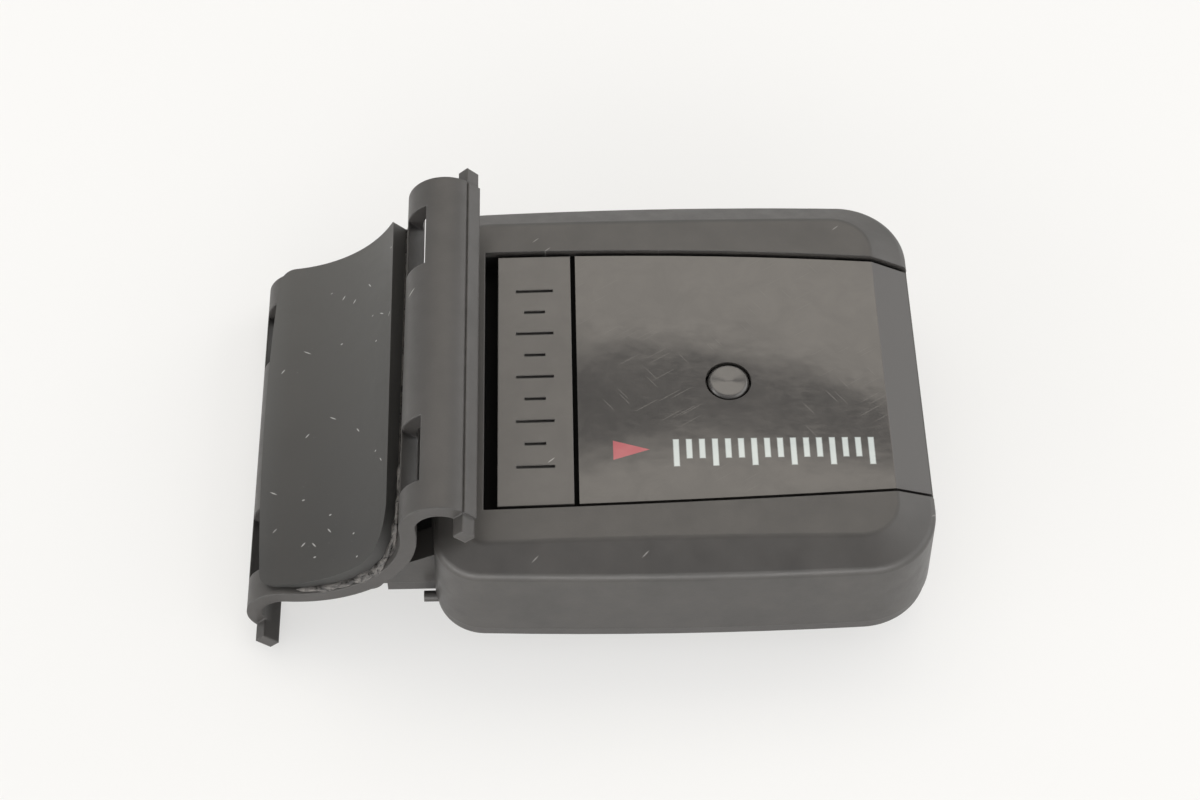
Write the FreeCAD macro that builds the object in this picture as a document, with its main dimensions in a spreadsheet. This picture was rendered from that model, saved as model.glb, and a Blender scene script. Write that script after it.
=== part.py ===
import FreeCAD, Part
import math
import os
import Sketcher

# Wireless wheel-speed transmitter of a cycling computer on its swivelling fork bracket.
# Millimetres. X runs along the transmitter, Y along the fork and the hinge pin, Z up.
# The origin is on the floor plane, at the centre of the battery cover's face.

DIMENSIONS = [
    # Transmitter casing
    ("body_left", 22.5),
    ("body_right", 22.0),
    ("body_half_width", 20.65),
    ("side_bow_radius", 420.0),
    ("left_corner_round", 4.6),
    ("right_corner_round", 6.6),
    ("rim_lift", 3.0),
    ("plate_thick", 1.15),
    ("plate_inset", 0.12),
    ("shoulder_z", 12.45),
    ("wall_lean", 0.33),
    ("roof_z", 14.7),
    ("shoulder_run", 3.7),
    ("right_bevel_run", 4.9),
    ("left_bevel_run", 4.2),
    ("crown_z", 14.3),
    ("crown_radius", 630.0),
    ("shell_wall", 1.5),
    ("cavity_top_z", 10.6),
    ("edge_soft", 0.9),
    ("top_soft", 0.8),
    # Top panel, label strip and their recess
    ("panel_floor_z", 12.9),
    ("panel_foot_z", 11.6),
    ("panel_half_width", 13.6),
    ("panel_side_radius", 560.0),
    ("panel_side_centre_x", -18.0),
    ("panel_right_x", 21.5),
    ("panel_foot_length", 3.6),
    ("strip_left_x", -16.6),
    ("strip_right_x", -9.9),
    ("strip_end_gap", 1.2),
    ("panel_drop", 0.3),
    ("groove_gap", 0.45),
    ("tick_width", 0.3),
    ("tick_depth", 0.25),
    ("tick_short", 1.9),
    ("tick_long", 3.4),
    ("tick_pitch", 2.4),
    ("tick_pairs", 4.0),
    # Button
    ("button_x", 4.13),
    ("button_y", -0.94),
    ("button_radius", 1.85),
    ("button_ring_gap", 0.22),
    ("button_proud", 0.06),
    ("button_travel", 0.4),
    ("button_flange_radius", 2.4),
    ("button_flange_thick", 0.35),
    ("button_well_depth", 1.1),
    ("stem_radius", 0.95),
    ("stem_clearance", 0.15),
    ("seal_thick", 0.15),
    # Battery, its well and its cover
    ("cell_radius", 12.25),
    ("cell_thick", 5.0),
    ("cell_side_gap", 0.35),
    ("cell_lift", 0.1),
    ("well_wall", 1.0),
    ("boss_radius", 15.9),
    ("cover_radius", 13.5),
    ("cover_gap", 0.2),
    ("cover_thick", 1.8),
    ("cover_dish_radius", 11.0),
    ("cover_dish_depth", 0.9),
    ("grip_bar_width", 4.0),
    ("lug_reach", 0.8),
    ("lug_width", 4.0),
    ("lug_thick", 0.7),
    ("lug_floor", 1.0),
    ("lug_gap", 0.05),
    ("ring_section", 0.38),
    # Board and what it carries
    ("board_length", 31.6),
    ("board_width", 25.6),
    ("board_thick", 0.8),
    ("board_gap", 0.6),
    ("switch_size", 4.0),
    ("switch_height", 1.1),
    ("plunger_radius", 0.8),
    ("plunger_gap", 0.02),
    ("plunger_seat", 0.3),
    ("plunger_clearance", 0.05),
    ("chip_size", 5.0),
    ("chip_height", 0.9),
    ("chip_x", -6.0),
    ("chip_y", 5.5),
    ("crystal_length", 4.6),
    ("crystal_width", 3.2),
    ("crystal_height", 1.1),
    ("crystal_y", -5.0),
    ("capacitor_length", 1.6),
    ("capacitor_width", 0.8),
    ("capacitor_pitch", 1.7),
    ("capacitor_count", 5.0),
    ("reed_radius", 1.0),
    ("reed_length", 11.0),
    ("reed_x", -13.0),
    ("lead_radius", 0.25),
    ("lead_reach", 2.6),
    ("antenna_length", 20.0),
    ("antenna_height", 1.7),
    ("antenna_width", 1.6),
    ("sheet_metal", 0.3),
    ("contact_width", 4.0),
    # Case screws and gasket
    ("screw_x", 16.6),
    ("screw_y", 14.9),
    ("screw_radius", 1.0),
    ("screw_length", 5.0),
    ("screw_head_radius", 1.8),
    ("screw_head_height", 0.9),
    ("screw_sink", 0.5),
    ("post_radius", 2.1),
    ("gasket_width", 0.8),
    ("gasket_height", 0.9),
    ("fit_gap", 0.1),
    # Hinge between casing and bracket
    ("hinge_x", -28.6),
    ("hinge_z", 4.6),
    ("cheek_radius", 1.5),
    ("cheek_outer_y", 15.5),
    ("cheek_inner_y", 12.5),
    ("cheek_top_z", 9.5),
    ("pin_radius", 0.75),
    ("pin_running_gap", 0.05),
    ("pin_recess", 0.3),
    ("washer_thick", 0.4),
    ("washer_gap", 0.05),
    ("nub_radius", 0.5),
    ("nub_reach", 1.0),
    ("nub_z", 0.6),
    ("nub_y", 16.6),
    # Fork bracket, in its own frame: x across the saddle, z out of it towards the fork
    ("bracket_tilt", 44.0),
    ("bracket_length", 35.6),
    ("bracket_half_width", 13.6),
    ("bracket_wall", 1.4),
    ("saddle_radius", 9.5),
    ("saddle_depth", 4.15),
    ("arch_radius", 3.5),
    ("leg_bottom", -3.83),
    ("ear_reach", 1.8),
    ("ear_inset", 0.25),
    ("right_ear_height", 1.4),
    ("left_ear_height", 1.7),
    ("leg_groove_height", 1.4),
    ("leg_groove_size", 0.22),
    ("knuckle_x", -3.88),
    ("knuckle_z", -6.82),
    ("knuckle_radius", 1.6),
    ("web_width", 2.6),
    ("right_slot_x", 8.2),
    ("right_slot_width", 2.9),
    ("left_slot_x", 9.6),
    ("left_slot_width", 2.7),
    ("slot_length", 6.6),
    ("slot_y", 11.5),
    # Rubber pad and the adhesive under it
    ("adhesive_thick", 0.15),
    ("adhesive_angle", 48.0),
    ("pad_length", 35.0),
    ("pad_shift", 0.3),
    ("pad_right_x", 4.5),
    ("pad_wrap_angle", 88.0),
    ("pad_near_radius", 11.5),
    ("pad_near_z", -2.55),
    ("pad_far_radius", 13.0),
    ("pad_far_z", -2.08),
    ("pad_left_bow", 180.0),
    ("pad_corner", 1.6),
    ("pad_square_corner", 0.35),
    ("pad_big_corner", 4.5),
]

doc = FreeCAD.newDocument("SpeedTransmitter")
dims = doc.addObject("Spreadsheet::Sheet", "dims")
for row, (alias, number) in enumerate(DIMENSIONS, start=1):
    dims.set("A%d" % row, alias.replace("_", " "))
    dims.set("B%d" % row, str(number))
    dims.setAlias("B%d" % row, alias)
doc.recompute()


def size(alias):
    """The number that a cell of the sheet holds."""
    return float(dims.get(alias))


def value(expression):
    """What an expression over the sheet's cells comes to."""
    found = dims.evalExpression(expression)
    return float(getattr(found, "Value", found))


def new_body(name):
    body = doc.addObject("PartDesign::Body", name)
    body.Label = name
    body.AllowCompound = True
    return body


def new_sketch(body, name, plane="XY_Plane", offset=None):
    """A sketch on one of the body's base planes, moved along its normal."""
    sketch = body.newObject("Sketcher::SketchObject", name)
    base = [item for item in body.Origin.OriginFeatures if item.Role == plane][0]
    sketch.AttachmentSupport = [(base, "")]
    sketch.MapMode = "FlatFace"
    if offset is not None:
        sketch.setExpression("AttachmentOffset.Base.z", offset)
    return sketch


def bind(sketch, kind, *where, to):
    """Adds a constraint whose size follows an expression."""
    index = sketch.addConstraint(Sketcher.Constraint(kind, *where, value(to)))
    sketch.setExpression("Constraints[%d]" % index, to)
    return index


def polygon(sketch, corners):
    """A closed outline of straight lines through corners given as expression pairs."""
    points = [FreeCAD.Vector(value(x), value(y), 0) for x, y in corners]
    count = len(points)
    lines = [sketch.addGeometry(Part.LineSegment(points[k], points[(k + 1) % count]))
             for k in range(count)]
    for k in range(count):
        sketch.addConstraint(Sketcher.Constraint("Coincident", lines[k], 2, lines[(k + 1) % count], 1))
        bind(sketch, "DistanceX", lines[k], 1, to=corners[k][0])
        bind(sketch, "DistanceY", lines[k], 1, to=corners[k][1])


def rectangle(sketch, left, right, low, high):
    polygon(sketch, [(left, low), (right, low), (right, high), (left, high)])


def circle(sketch, x, y, radius):
    centre = FreeCAD.Vector(value(x), value(y), 0)
    ring = sketch.addGeometry(Part.Circle(centre, FreeCAD.Vector(0, 0, 1), value(radius)))
    bind(sketch, "DistanceX", ring, 3, to=x)
    bind(sketch, "DistanceY", ring, 3, to=y)
    bind(sketch, "Radius", ring, to=radius)


def add_arc(sketch, centre, radius, start, end):
    """An arc drawn anticlockwise between two angles in degrees."""
    full = Part.Circle(FreeCAD.Vector(centre[0], centre[1], 0), FreeCAD.Vector(0, 0, 1), radius)
    return sketch.addGeometry(Part.ArcOfCircle(full, math.radians(start), math.radians(end)))


def add_line(sketch, start, end):
    return sketch.addGeometry(Part.LineSegment(FreeCAD.Vector(*start, 0), FreeCAD.Vector(*end, 0)))


def join(sketch, first, first_end, second, second_end):
    """Joins two ends so that one runs smoothly into the other."""
    sketch.addConstraint(Sketcher.Constraint("Tangent", first, first_end, second, second_end))


def case_outline(sketch, left, right, half, inset="0"):
    """The casing's outline: straight ends, gently bowed sides and round corners."""
    left = "%s + (%s)" % (left, inset)
    right = "%s - (%s)" % (right, inset)
    half = "%s - (%s)" % (half, inset)
    left_corner = "dims.left_corner_round - (%s)" % inset
    right_corner = "dims.right_corner_round - (%s)" % inset
    bow = "dims.side_bow_radius - (%s)" % inset
    x0, x1, w = value(left), value(right), value(half)
    r0, r1, big = value(left_corner), value(right_corner), value(bow)
    middle = (x0 + x1) / 2

    def corner_place(r):
        """Where a corner of this radius meets the bowed side, as a height and a swing."""
        along = (x1 - x0) / 2 - r
        height = w - big + math.sqrt((big - r) ** 2 - along ** 2)
        return height, math.degrees(math.asin(along / (big - r)))

    y0, swing0 = corner_place(r0)
    y1, swing1 = corner_place(r1)
    near = add_arc(sketch, (middle, big - w), big, 270 - swing0, 270 + swing1)
    near_right = add_arc(sketch, (x1 - r1, -y1), r1, 270 + swing1, 360)
    right_end = add_line(sketch, (x1, -y1), (x1, y1))
    far_right = add_arc(sketch, (x1 - r1, y1), r1, 0, 90 - swing1)
    far = add_arc(sketch, (middle, w - big), big, 90 - swing1, 90 + swing0)
    far_left = add_arc(sketch, (x0 + r0, y0), r0, 90 + swing0, 180)
    left_end = add_line(sketch, (x0, y0), (x0, -y0))
    near_left = add_arc(sketch, (x0 + r0, -y0), r0, 180, 270 - swing0)
    chain = (near, near_right, right_end, far_right, far, far_left, left_end, near_left)
    for first, second in zip(chain, chain[1:] + chain[:1]):
        join(sketch, first, 2, second, 1)
    sketch.addConstraint(Sketcher.Constraint("Vertical", right_end))
    sketch.addConstraint(Sketcher.Constraint("Vertical", left_end))
    for rounding, radius in ((near_right, right_corner), (far_right, right_corner),
                             (far_left, left_corner), (near_left, left_corner)):
        bind(sketch, "Radius", rounding, to=radius)
    bind(sketch, "DistanceX", left_end, 1, to=left)
    bind(sketch, "DistanceX", right_end, 1, to=right)
    for side, to in ((near, "(%s) - (%s)" % (bow, half)), (far, "(%s) - (%s)" % (half, bow))):
        bind(sketch, "Radius", side, to=bow)
        bind(sketch, "DistanceX", side, 3, to="((%s) + (%s)) / 2" % (left, right))
        bind(sketch, "DistanceY", side, 3, to=to)


def panel_outline(sketch, left, right, inset):
    """The top panel's outline: straight ends and two bowed sides that close in to the right."""
    x0, x1 = value(left), value(right)
    centre_x = size("panel_side_centre_x")
    radius = "dims.panel_side_radius - (%s)" % inset
    reach = "dims.panel_side_radius - dims.panel_half_width"
    r, back = value(radius), value(reach)

    def angle(x):
        return math.degrees(math.asin((x - centre_x) / r))

    def half(x):
        return math.sqrt(r ** 2 - (x - centre_x) ** 2) - back

    near = add_arc(sketch, (centre_x, back), r, 270 + angle(x0), 270 + angle(x1))
    right_end = add_line(sketch, (x1, -half(x1)), (x1, half(x1)))
    far = add_arc(sketch, (centre_x, -back), r, 90 - angle(x1), 90 - angle(x0))
    left_end = add_line(sketch, (x0, half(x0)), (x0, -half(x0)))
    for first, second in ((near, right_end), (right_end, far), (far, left_end), (left_end, near)):
        sketch.addConstraint(Sketcher.Constraint("Coincident", first, 2, second, 1))
    sketch.addConstraint(Sketcher.Constraint("Vertical", right_end))
    sketch.addConstraint(Sketcher.Constraint("Vertical", left_end))
    for side, to in ((near, reach), (far, "-(%s)" % reach)):
        bind(sketch, "Radius", side, to=radius)
        bind(sketch, "DistanceX", side, 3, to="dims.panel_side_centre_x")
        bind(sketch, "DistanceY", side, 3, to=to)
    bind(sketch, "DistanceX", left_end, 1, to=left)
    bind(sketch, "DistanceX", right_end, 1, to=right)


def pad(body, sketch, name, length, both_ways=False, reverse=False):
    feature = body.newObject("PartDesign::Pad", name)
    feature.Profile = sketch
    feature.setExpression("Length", length)
    feature.Midplane = both_ways
    feature.Reversed = reverse
    doc.recompute()
    return feature


def cut(body, sketch, name, length=None, both_ways=False, upward=False):
    """A pocket: along the sketch's normal when upward, and right through with no length."""
    feature = body.newObject("PartDesign::Pocket", name)
    feature.Profile = sketch
    if length is None:
        feature.Type = "ThroughAll"
    else:
        feature.setExpression("Length", length)
    feature.Midplane = both_ways
    feature.Reversed = upward
    doc.recompute()
    return feature


def turn(body, sketch, name, axis, remove=False):
    kind = "PartDesign::Groove" if remove else "PartDesign::Revolution"
    feature = body.newObject(kind, name)
    feature.Profile = sketch
    feature.ReferenceAxis = axis
    feature.Angle = 360
    doc.recompute()
    return feature


def round_about(body, feature, name, count):
    """Repeats a feature round the body's Z axis."""
    pattern = body.newObject("PartDesign::PolarPattern", name)
    axis = [item for item in body.Origin.OriginFeatures if item.Role == "Z_Axis"][0]
    pattern.Originals = [feature]
    pattern.Axis = (axis, [""])
    pattern.Angle = 360
    pattern.Occurrences = count
    body.Tip = pattern
    doc.recompute()
    return pattern


LEFT = "-dims.body_left"
RIGHT = "dims.body_right"
HALF = "dims.body_half_width"
PLATE_TOP = "dims.rim_lift + dims.plate_thick"
BOARD_LOW = "dims.cover_thick + dims.cell_lift + dims.cell_thick + dims.board_gap"
BOARD_TOP = "(%s) + dims.board_thick" % BOARD_LOW
PLUNGER_TOP = "(%s) + dims.switch_height + dims.button_travel + 0.05" % BOARD_TOP


def crown_cut(body, name, drop="0"):
    """Cuts the top to its long shallow crown, or to the same crown a little lower."""
    sketch = new_sketch(body, name + "_profile", "XZ_Plane")
    reach = 30.0
    radius = size("crown_radius")
    low = size("crown_z") - value(drop) - radius
    swing = math.degrees(math.asin(reach / radius))
    y = low + radius * math.cos(math.radians(swing))
    arc = add_arc(sketch, (0, low), radius, 90 - swing, 90 + swing)
    left = add_line(sketch, (-reach, y), (-reach, y + 6))
    top = add_line(sketch, (-reach, y + 6), (reach, y + 6))
    right = add_line(sketch, (reach, y + 6), (reach, y))
    for first, second in ((arc, left), (left, top), (top, right), (right, arc)):
        sketch.addConstraint(Sketcher.Constraint("Coincident", first, 2, second, 1))
    sketch.addConstraint(Sketcher.Constraint("Vertical", left))
    sketch.addConstraint(Sketcher.Constraint("Vertical", right))
    sketch.addConstraint(Sketcher.Constraint("Horizontal", top))
    sketch.addConstraint(Sketcher.Constraint("PointOnObject", arc, 3, -2))
    bind(sketch, "Radius", arc, to="dims.crown_radius")
    bind(sketch, "DistanceY", arc, 3, to="dims.crown_z - %s - dims.crown_radius" % drop)
    bind(sketch, "DistanceX", arc, 1, to="dims.body_right + 8")
    bind(sketch, "DistanceY", top, 1, to="dims.crown_z + 5")
    return cut(body, sketch, name, "dims.body_half_width * 2 + 10", both_ways=True)


def bevel_cut(body, name):
    """Takes the panel down along the casing's sloping right end."""
    sketch = new_sketch(body, name + "_profile", "XZ_Plane")
    low_x = "(%s - dims.wall_lean)" % RIGHT
    top_x = low_x + " - dims.right_bevel_run"
    rise = "(dims.roof_z - dims.shoulder_z)"
    far_x = low_x + " + dims.right_bevel_run"
    polygon(sketch, [(low_x, "dims.shoulder_z - dims.panel_drop"), (top_x, "dims.roof_z - dims.panel_drop"),
                     (top_x, "dims.roof_z + 2"), (far_x, "dims.roof_z + 2"),
                     (far_x, "dims.shoulder_z - dims.panel_drop - " + rise)])
    return cut(body, sketch, name, "dims.body_half_width * 2 + 10", both_ways=True)


def make_base_plate():
    body = new_body("base_plate")
    outline = new_sketch(body, "plate_outline", offset="dims.rim_lift")
    case_outline(outline, LEFT, RIGHT, HALF, "dims.plate_inset")
    pad(body, outline, "plate", "dims.plate_thick")

    tongue = new_sketch(body, "tongue_outline", offset="dims.rim_lift")
    rectangle(tongue, "dims.hinge_x + dims.knuckle_radius + 0.2", LEFT + " + 2",
              "-dims.cheek_outer_y", "dims.cheek_outer_y")
    pad(body, tongue, "tongue", "dims.plate_thick")

    boss = new_sketch(body, "boss_outline")
    circle(boss, "0", "0", "dims.boss_radius")
    pad(body, boss, "boss", PLATE_TOP)

    well = new_sketch(body, "well_outline", offset="dims.rim_lift")
    circle(well, "0", "0", "dims.cell_radius + dims.cell_side_gap + dims.well_wall")
    pad(body, well, "well", "(%s) - dims.rim_lift" % BOARD_LOW)

    cell_bore = new_sketch(body, "cell_bore_outline")
    circle(cell_bore, "0", "0", "dims.cell_radius + dims.cell_side_gap")
    cut(body, cell_bore, "cell_bore", upward=True)

    cover_seat = new_sketch(body, "cover_seat_outline")
    circle(cover_seat, "0", "0", "dims.cover_radius + dims.cover_gap")
    cut(body, cover_seat, "cover_seat", "dims.cover_thick + dims.ring_section * 2 + 0.04", upward=True)

    track = new_sketch(body, "lug_track_outline", offset="dims.lug_floor")
    circle(track, "0", "0", "dims.cover_radius + dims.lug_reach + dims.cover_gap")
    cut(body, track, "lug_track", "dims.lug_thick + dims.lug_gap * 2", upward=True)

    entry = new_sketch(body, "lug_entry_outline")
    half = "(dims.lug_width / 2 + dims.cover_gap)"
    rectangle(entry, "-" + half, half, "dims.cover_radius - 1",
              "dims.cover_radius + dims.lug_reach + dims.cover_gap")
    first_entry = cut(body, entry, "lug_entry", "dims.lug_floor + 0.1", upward=True)
    round_about(body, first_entry, "lug_entries", 3)

    window = new_sketch(body, "contact_window_outline", offset=PLATE_TOP)
    half = "(dims.contact_width / 2 + dims.fit_gap * 2)"
    rectangle(window, "dims.cell_radius - 2", "dims.cell_radius + 4", "-" + half, half)
    cut(body, window, "contact_window", "dims.cell_thick + 4", upward=True)

    holes = new_sketch(body, "screw_hole_centres")
    sinks = new_sketch(body, "screw_sink_centres")
    for sx in ("", "-"):
        for sy in ("", "-"):
            circle(holes, sx + "dims.screw_x", sy + "dims.screw_y", "dims.screw_radius + dims.fit_gap")
            circle(sinks, sx + "dims.screw_x", sy + "dims.screw_y",
                   "dims.screw_head_radius + dims.fit_gap * 2")
    cut(body, holes, "screw_holes", upward=True)
    cut(body, sinks, "screw_sinks", "dims.rim_lift + dims.screw_sink", upward=True)

    nubs = new_sketch(body, "nub_centres", "YZ_Plane", LEFT + " + 1.2")
    for sy in ("", "-"):
        circle(nubs, sy + "dims.nub_y", "dims.rim_lift + dims.nub_z", "dims.nub_radius")
    pad(body, nubs, "corner_nubs", "dims.nub_reach + 1.2", reverse=True)
    return body


def make_case_gasket():
    body = new_body("case_gasket")
    ring = new_sketch(body, "gasket_outline", offset=PLATE_TOP)
    case_outline(ring, LEFT, RIGHT, HALF, "dims.shell_wall + dims.fit_gap")
    case_outline(ring, LEFT, RIGHT, HALF, "dims.shell_wall + dims.fit_gap + dims.gasket_width")
    pad(body, ring, "gasket", "dims.gasket_height")
    return body


def make_housing_shell():
    """The shell takes the most skill: a leaning wall, a sloping shoulder and a crowned top."""
    body = new_body("housing_shell")
    foot = new_sketch(body, "foot_section", offset=PLATE_TOP)
    case_outline(foot, LEFT, RIGHT, HALF)
    shoulder = new_sketch(body, "shoulder_section", offset="dims.shoulder_z")
    case_outline(shoulder, LEFT, RIGHT, HALF, "dims.wall_lean")
    roof = new_sketch(body, "roof_section", offset="dims.roof_z")
    side = "dims.wall_lean + dims.shoulder_run"
    case_outline(roof, LEFT + " - dims.shoulder_run + dims.left_bevel_run",
                 RIGHT + " + dims.shoulder_run - dims.right_bevel_run", HALF, side)
    form = body.newObject("PartDesign::AdditiveLoft", "outer_form")
    form.Profile = foot
    form.Sections = [shoulder, roof]
    form.Ruled = True
    doc.recompute()
    crown = crown_cut(body, "crown")
    rounded = soften_edges(body, crown, "shoulder_edge", "dims.edge_soft", at_shoulder)
    soften_edges(body, rounded, "top_edge", "dims.top_soft", on_crown)

    cavity = new_sketch(body, "cavity_outline", offset=PLATE_TOP)
    case_outline(cavity, LEFT, RIGHT, HALF, "dims.shell_wall")
    cut(body, cavity, "cavity", "dims.cavity_top_z - (%s)" % PLATE_TOP, upward=True)

    posts = new_sketch(body, "post_centres", offset=PLATE_TOP)
    drills = new_sketch(body, "drill_centres", offset=PLATE_TOP)
    for sx in ("", "-"):
        for sy in ("", "-"):
            circle(posts, sx + "dims.screw_x", sy + "dims.screw_y", "dims.post_radius")
            circle(drills, sx + "dims.screw_x", sy + "dims.screw_y", "dims.screw_radius")
    pad(body, posts, "posts", "dims.cavity_top_z - (%s) + 0.2" % PLATE_TOP)
    cut(body, drills, "drills", "dims.screw_length", upward=True)

    recess = new_sketch(body, "recess_outline", offset="dims.panel_floor_z")
    gap = "-dims.groove_gap"
    panel_outline(recess, "dims.strip_left_x - dims.strip_end_gap", "dims.panel_right_x + dims.groove_gap", gap)
    cut(body, recess, "recess", upward=True)
    for name, left, right in (
            ("left_foot", "dims.strip_left_x - dims.strip_end_gap",
             "dims.strip_left_x + dims.panel_foot_length + dims.groove_gap"),
            ("right_foot", "dims.panel_right_x - dims.panel_foot_length - dims.groove_gap",
             "dims.panel_right_x + dims.groove_gap")):
        foot = new_sketch(body, name + "_outline", offset="dims.panel_foot_z")
        panel_outline(foot, left, right, gap)
        cut(body, foot, name, upward=True)

    well = new_sketch(body, "button_well_outline", offset="dims.panel_floor_z - dims.button_well_depth")
    circle(well, "dims.button_x", "dims.button_y", "dims.button_flange_radius + 0.3")
    cut(body, well, "button_well", upward=True)
    hole = new_sketch(body, "stem_hole_outline", offset=PLATE_TOP)
    circle(hole, "dims.button_x", "dims.button_y", "dims.stem_radius + dims.stem_clearance")
    cut(body, hole, "stem_hole", upward=True)

    add_cheeks(body)
    return body


def at_shoulder(edge):
    """True for the edges where the side wall meets the sloping shoulder."""
    box = edge.BoundBox
    return box.ZMax - box.ZMin < 0.01 and abs(box.ZMin - size("shoulder_z")) < 0.01


def on_crown(edge):
    """True for the edges where the sloping shoulder meets the crowned top."""
    radius = size("crown_radius")
    low = size("crown_z") - radius
    middle = edge.valueAt((edge.FirstParameter + edge.LastParameter) / 2)
    return abs(math.hypot(middle.x, middle.z - low) - radius) < 0.01


def soften_edges(body, feature, name, radius, wanted):
    """Rounds the edges of a feature that pass a test."""
    names = ["Edge%d" % index for index, edge in enumerate(feature.Shape.Edges, start=1) if wanted(edge)]
    fillet = body.newObject("PartDesign::Fillet", name)
    fillet.Base = (feature, names)
    fillet.setExpression("Radius", radius)
    doc.recompute()
    return fillet


def add_cheeks(body):
    """Two side cheeks that reach under the bracket's saddle and hold the hinge pin."""
    wedge = new_sketch(body, "cheek_wedge_profile", "XZ_Plane")
    root = LEFT + " + 1.2"
    polygon(wedge, [(root, PLATE_TOP), ("dims.hinge_x", PLATE_TOP),
                    ("dims.hinge_x", "dims.hinge_z + dims.cheek_radius"),
                    ("dims.hinge_x + dims.cheek_radius * 0.5", "dims.hinge_z + dims.cheek_radius * 0.95"),
                    (root, "dims.cheek_top_z")])
    pad(body, wedge, "cheek_wedge", "dims.cheek_outer_y * 2", both_ways=True)
    nose = new_sketch(body, "cheek_nose_profile", "XZ_Plane")
    circle(nose, "dims.hinge_x", "dims.hinge_z", "dims.cheek_radius")
    pad(body, nose, "cheek_nose", "dims.cheek_outer_y * 2", both_ways=True)
    between = new_sketch(body, "between_cheeks_profile", "XZ_Plane")
    rectangle(between, "dims.hinge_x - 4", LEFT + " - 0.1", "dims.rim_lift - 1", "dims.cheek_top_z + 1")
    cut(body, between, "between_cheeks", "dims.cheek_inner_y * 2", both_ways=True)
    bore = new_sketch(body, "pin_bore_profile", "XZ_Plane")
    circle(bore, "dims.hinge_x", "dims.hinge_z", "dims.pin_radius")
    cut(body, bore, "pin_bore", "dims.cheek_outer_y * 2 + 1", both_ways=True)


def make_gloss_panel():
    body = new_body("gloss_panel")
    outline = new_sketch(body, "panel_plan", offset="dims.panel_foot_z + dims.fit_gap / 2")
    left = "dims.strip_right_x + dims.groove_gap"
    panel_outline(outline, left, "dims.panel_right_x", "0")
    pad(body, outline, "panel_blank", "dims.roof_z - dims.panel_foot_z")
    crown_cut(body, "panel_crown", "dims.panel_drop")
    bevel_cut(body, "panel_bevel")
    under = new_sketch(body, "panel_underside", "XZ_Plane")
    rectangle(under, left + " - 1", "dims.panel_right_x - dims.panel_foot_length",
              "dims.panel_foot_z - 1", "dims.panel_floor_z + dims.fit_gap / 2")
    cut(body, under, "panel_thinning", "dims.body_half_width * 2", both_ways=True)
    hole = new_sketch(body, "button_hole_outline", offset="dims.panel_foot_z")
    circle(hole, "dims.button_x", "dims.button_y", "dims.button_radius + dims.button_ring_gap")
    cut(body, hole, "button_hole", upward=True)
    return body


def make_label_strip():
    """The small field left of the panel, engraved with a plain alignment scale."""
    body = new_body("label_strip")
    outline = new_sketch(body, "strip_plan", offset="dims.panel_foot_z + dims.fit_gap / 2")
    panel_outline(outline, "dims.strip_left_x", "dims.strip_right_x", "0")
    pad(body, outline, "strip_blank", "dims.roof_z - dims.panel_foot_z")
    crown_cut(body, "strip_crown", "dims.panel_drop")
    under = new_sketch(body, "strip_underside", "XZ_Plane")
    rectangle(under, "dims.strip_left_x + dims.panel_foot_length", "dims.strip_right_x + 1",
              "dims.panel_foot_z - 1", "dims.panel_floor_z + dims.fit_gap / 2")
    cut(body, under, "strip_thinning", "dims.body_half_width * 2", both_ways=True)
    engrave_scale(body)
    return body


def engrave_scale(body):
    """A long middle tick and pairs of ticks either side, every second one long."""
    ticks = new_sketch(body, "tick_marks", offset="dims.crown_z - dims.panel_drop - 0.15 - dims.tick_depth")
    middle = "(dims.strip_left_x + dims.strip_right_x) / 2"
    half = "dims.tick_width / 2"
    pairs = int(size("tick_pairs"))
    for step in range(-pairs, pairs + 1):
        reach = "dims.tick_long / 2" if step % 2 == 0 else "dims.tick_short / 2"
        y = "%d * dims.tick_pitch" % step
        rectangle(ticks, "%s - %s" % (middle, reach), "%s + %s" % (middle, reach),
                  "%s - %s" % (y, half), "%s + %s" % (y, half))
    cut(body, ticks, "ticks", upward=True)


def make_button():
    body = new_body("button_cap")
    profile = new_sketch(body, "button_profile", "XZ_Plane")
    top = "dims.crown_z - dims.panel_drop + dims.button_proud"
    flange_top = "dims.panel_floor_z"
    flange_low = "%s - dims.button_flange_thick" % flange_top
    stem_low = PLUNGER_TOP + " + dims.plunger_gap"
    polygon(profile, [("0", stem_low), ("dims.stem_radius", stem_low),
                      ("dims.stem_radius", flange_low), ("dims.button_flange_radius", flange_low),
                      ("dims.button_flange_radius", flange_top), ("dims.button_radius", flange_top),
                      ("dims.button_radius", top + " - 0.25"), ("dims.button_radius - 0.25", top),
                      ("0", top + " - 0.08")])
    axis = (profile, ["V_Axis"])
    turn(body, profile, "button_form", axis)
    body.setExpression("Placement.Base.x", "dims.button_x")
    body.setExpression("Placement.Base.y", "dims.button_y")
    seal = new_body("button_seal")
    ring = new_sketch(seal, "seal_outline")
    circle(ring, "0", "0", "dims.button_flange_radius + 0.2")
    circle(ring, "0", "0", "dims.stem_radius + dims.stem_clearance")
    pad(seal, ring, "seal", "dims.seal_thick")
    seal.setExpression("Placement.Base.x", "dims.button_x")
    seal.setExpression("Placement.Base.y", "dims.button_y")
    seal.setExpression("Placement.Base.z", "dims.panel_floor_z - dims.button_well_depth")
    return [body, seal]


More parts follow.
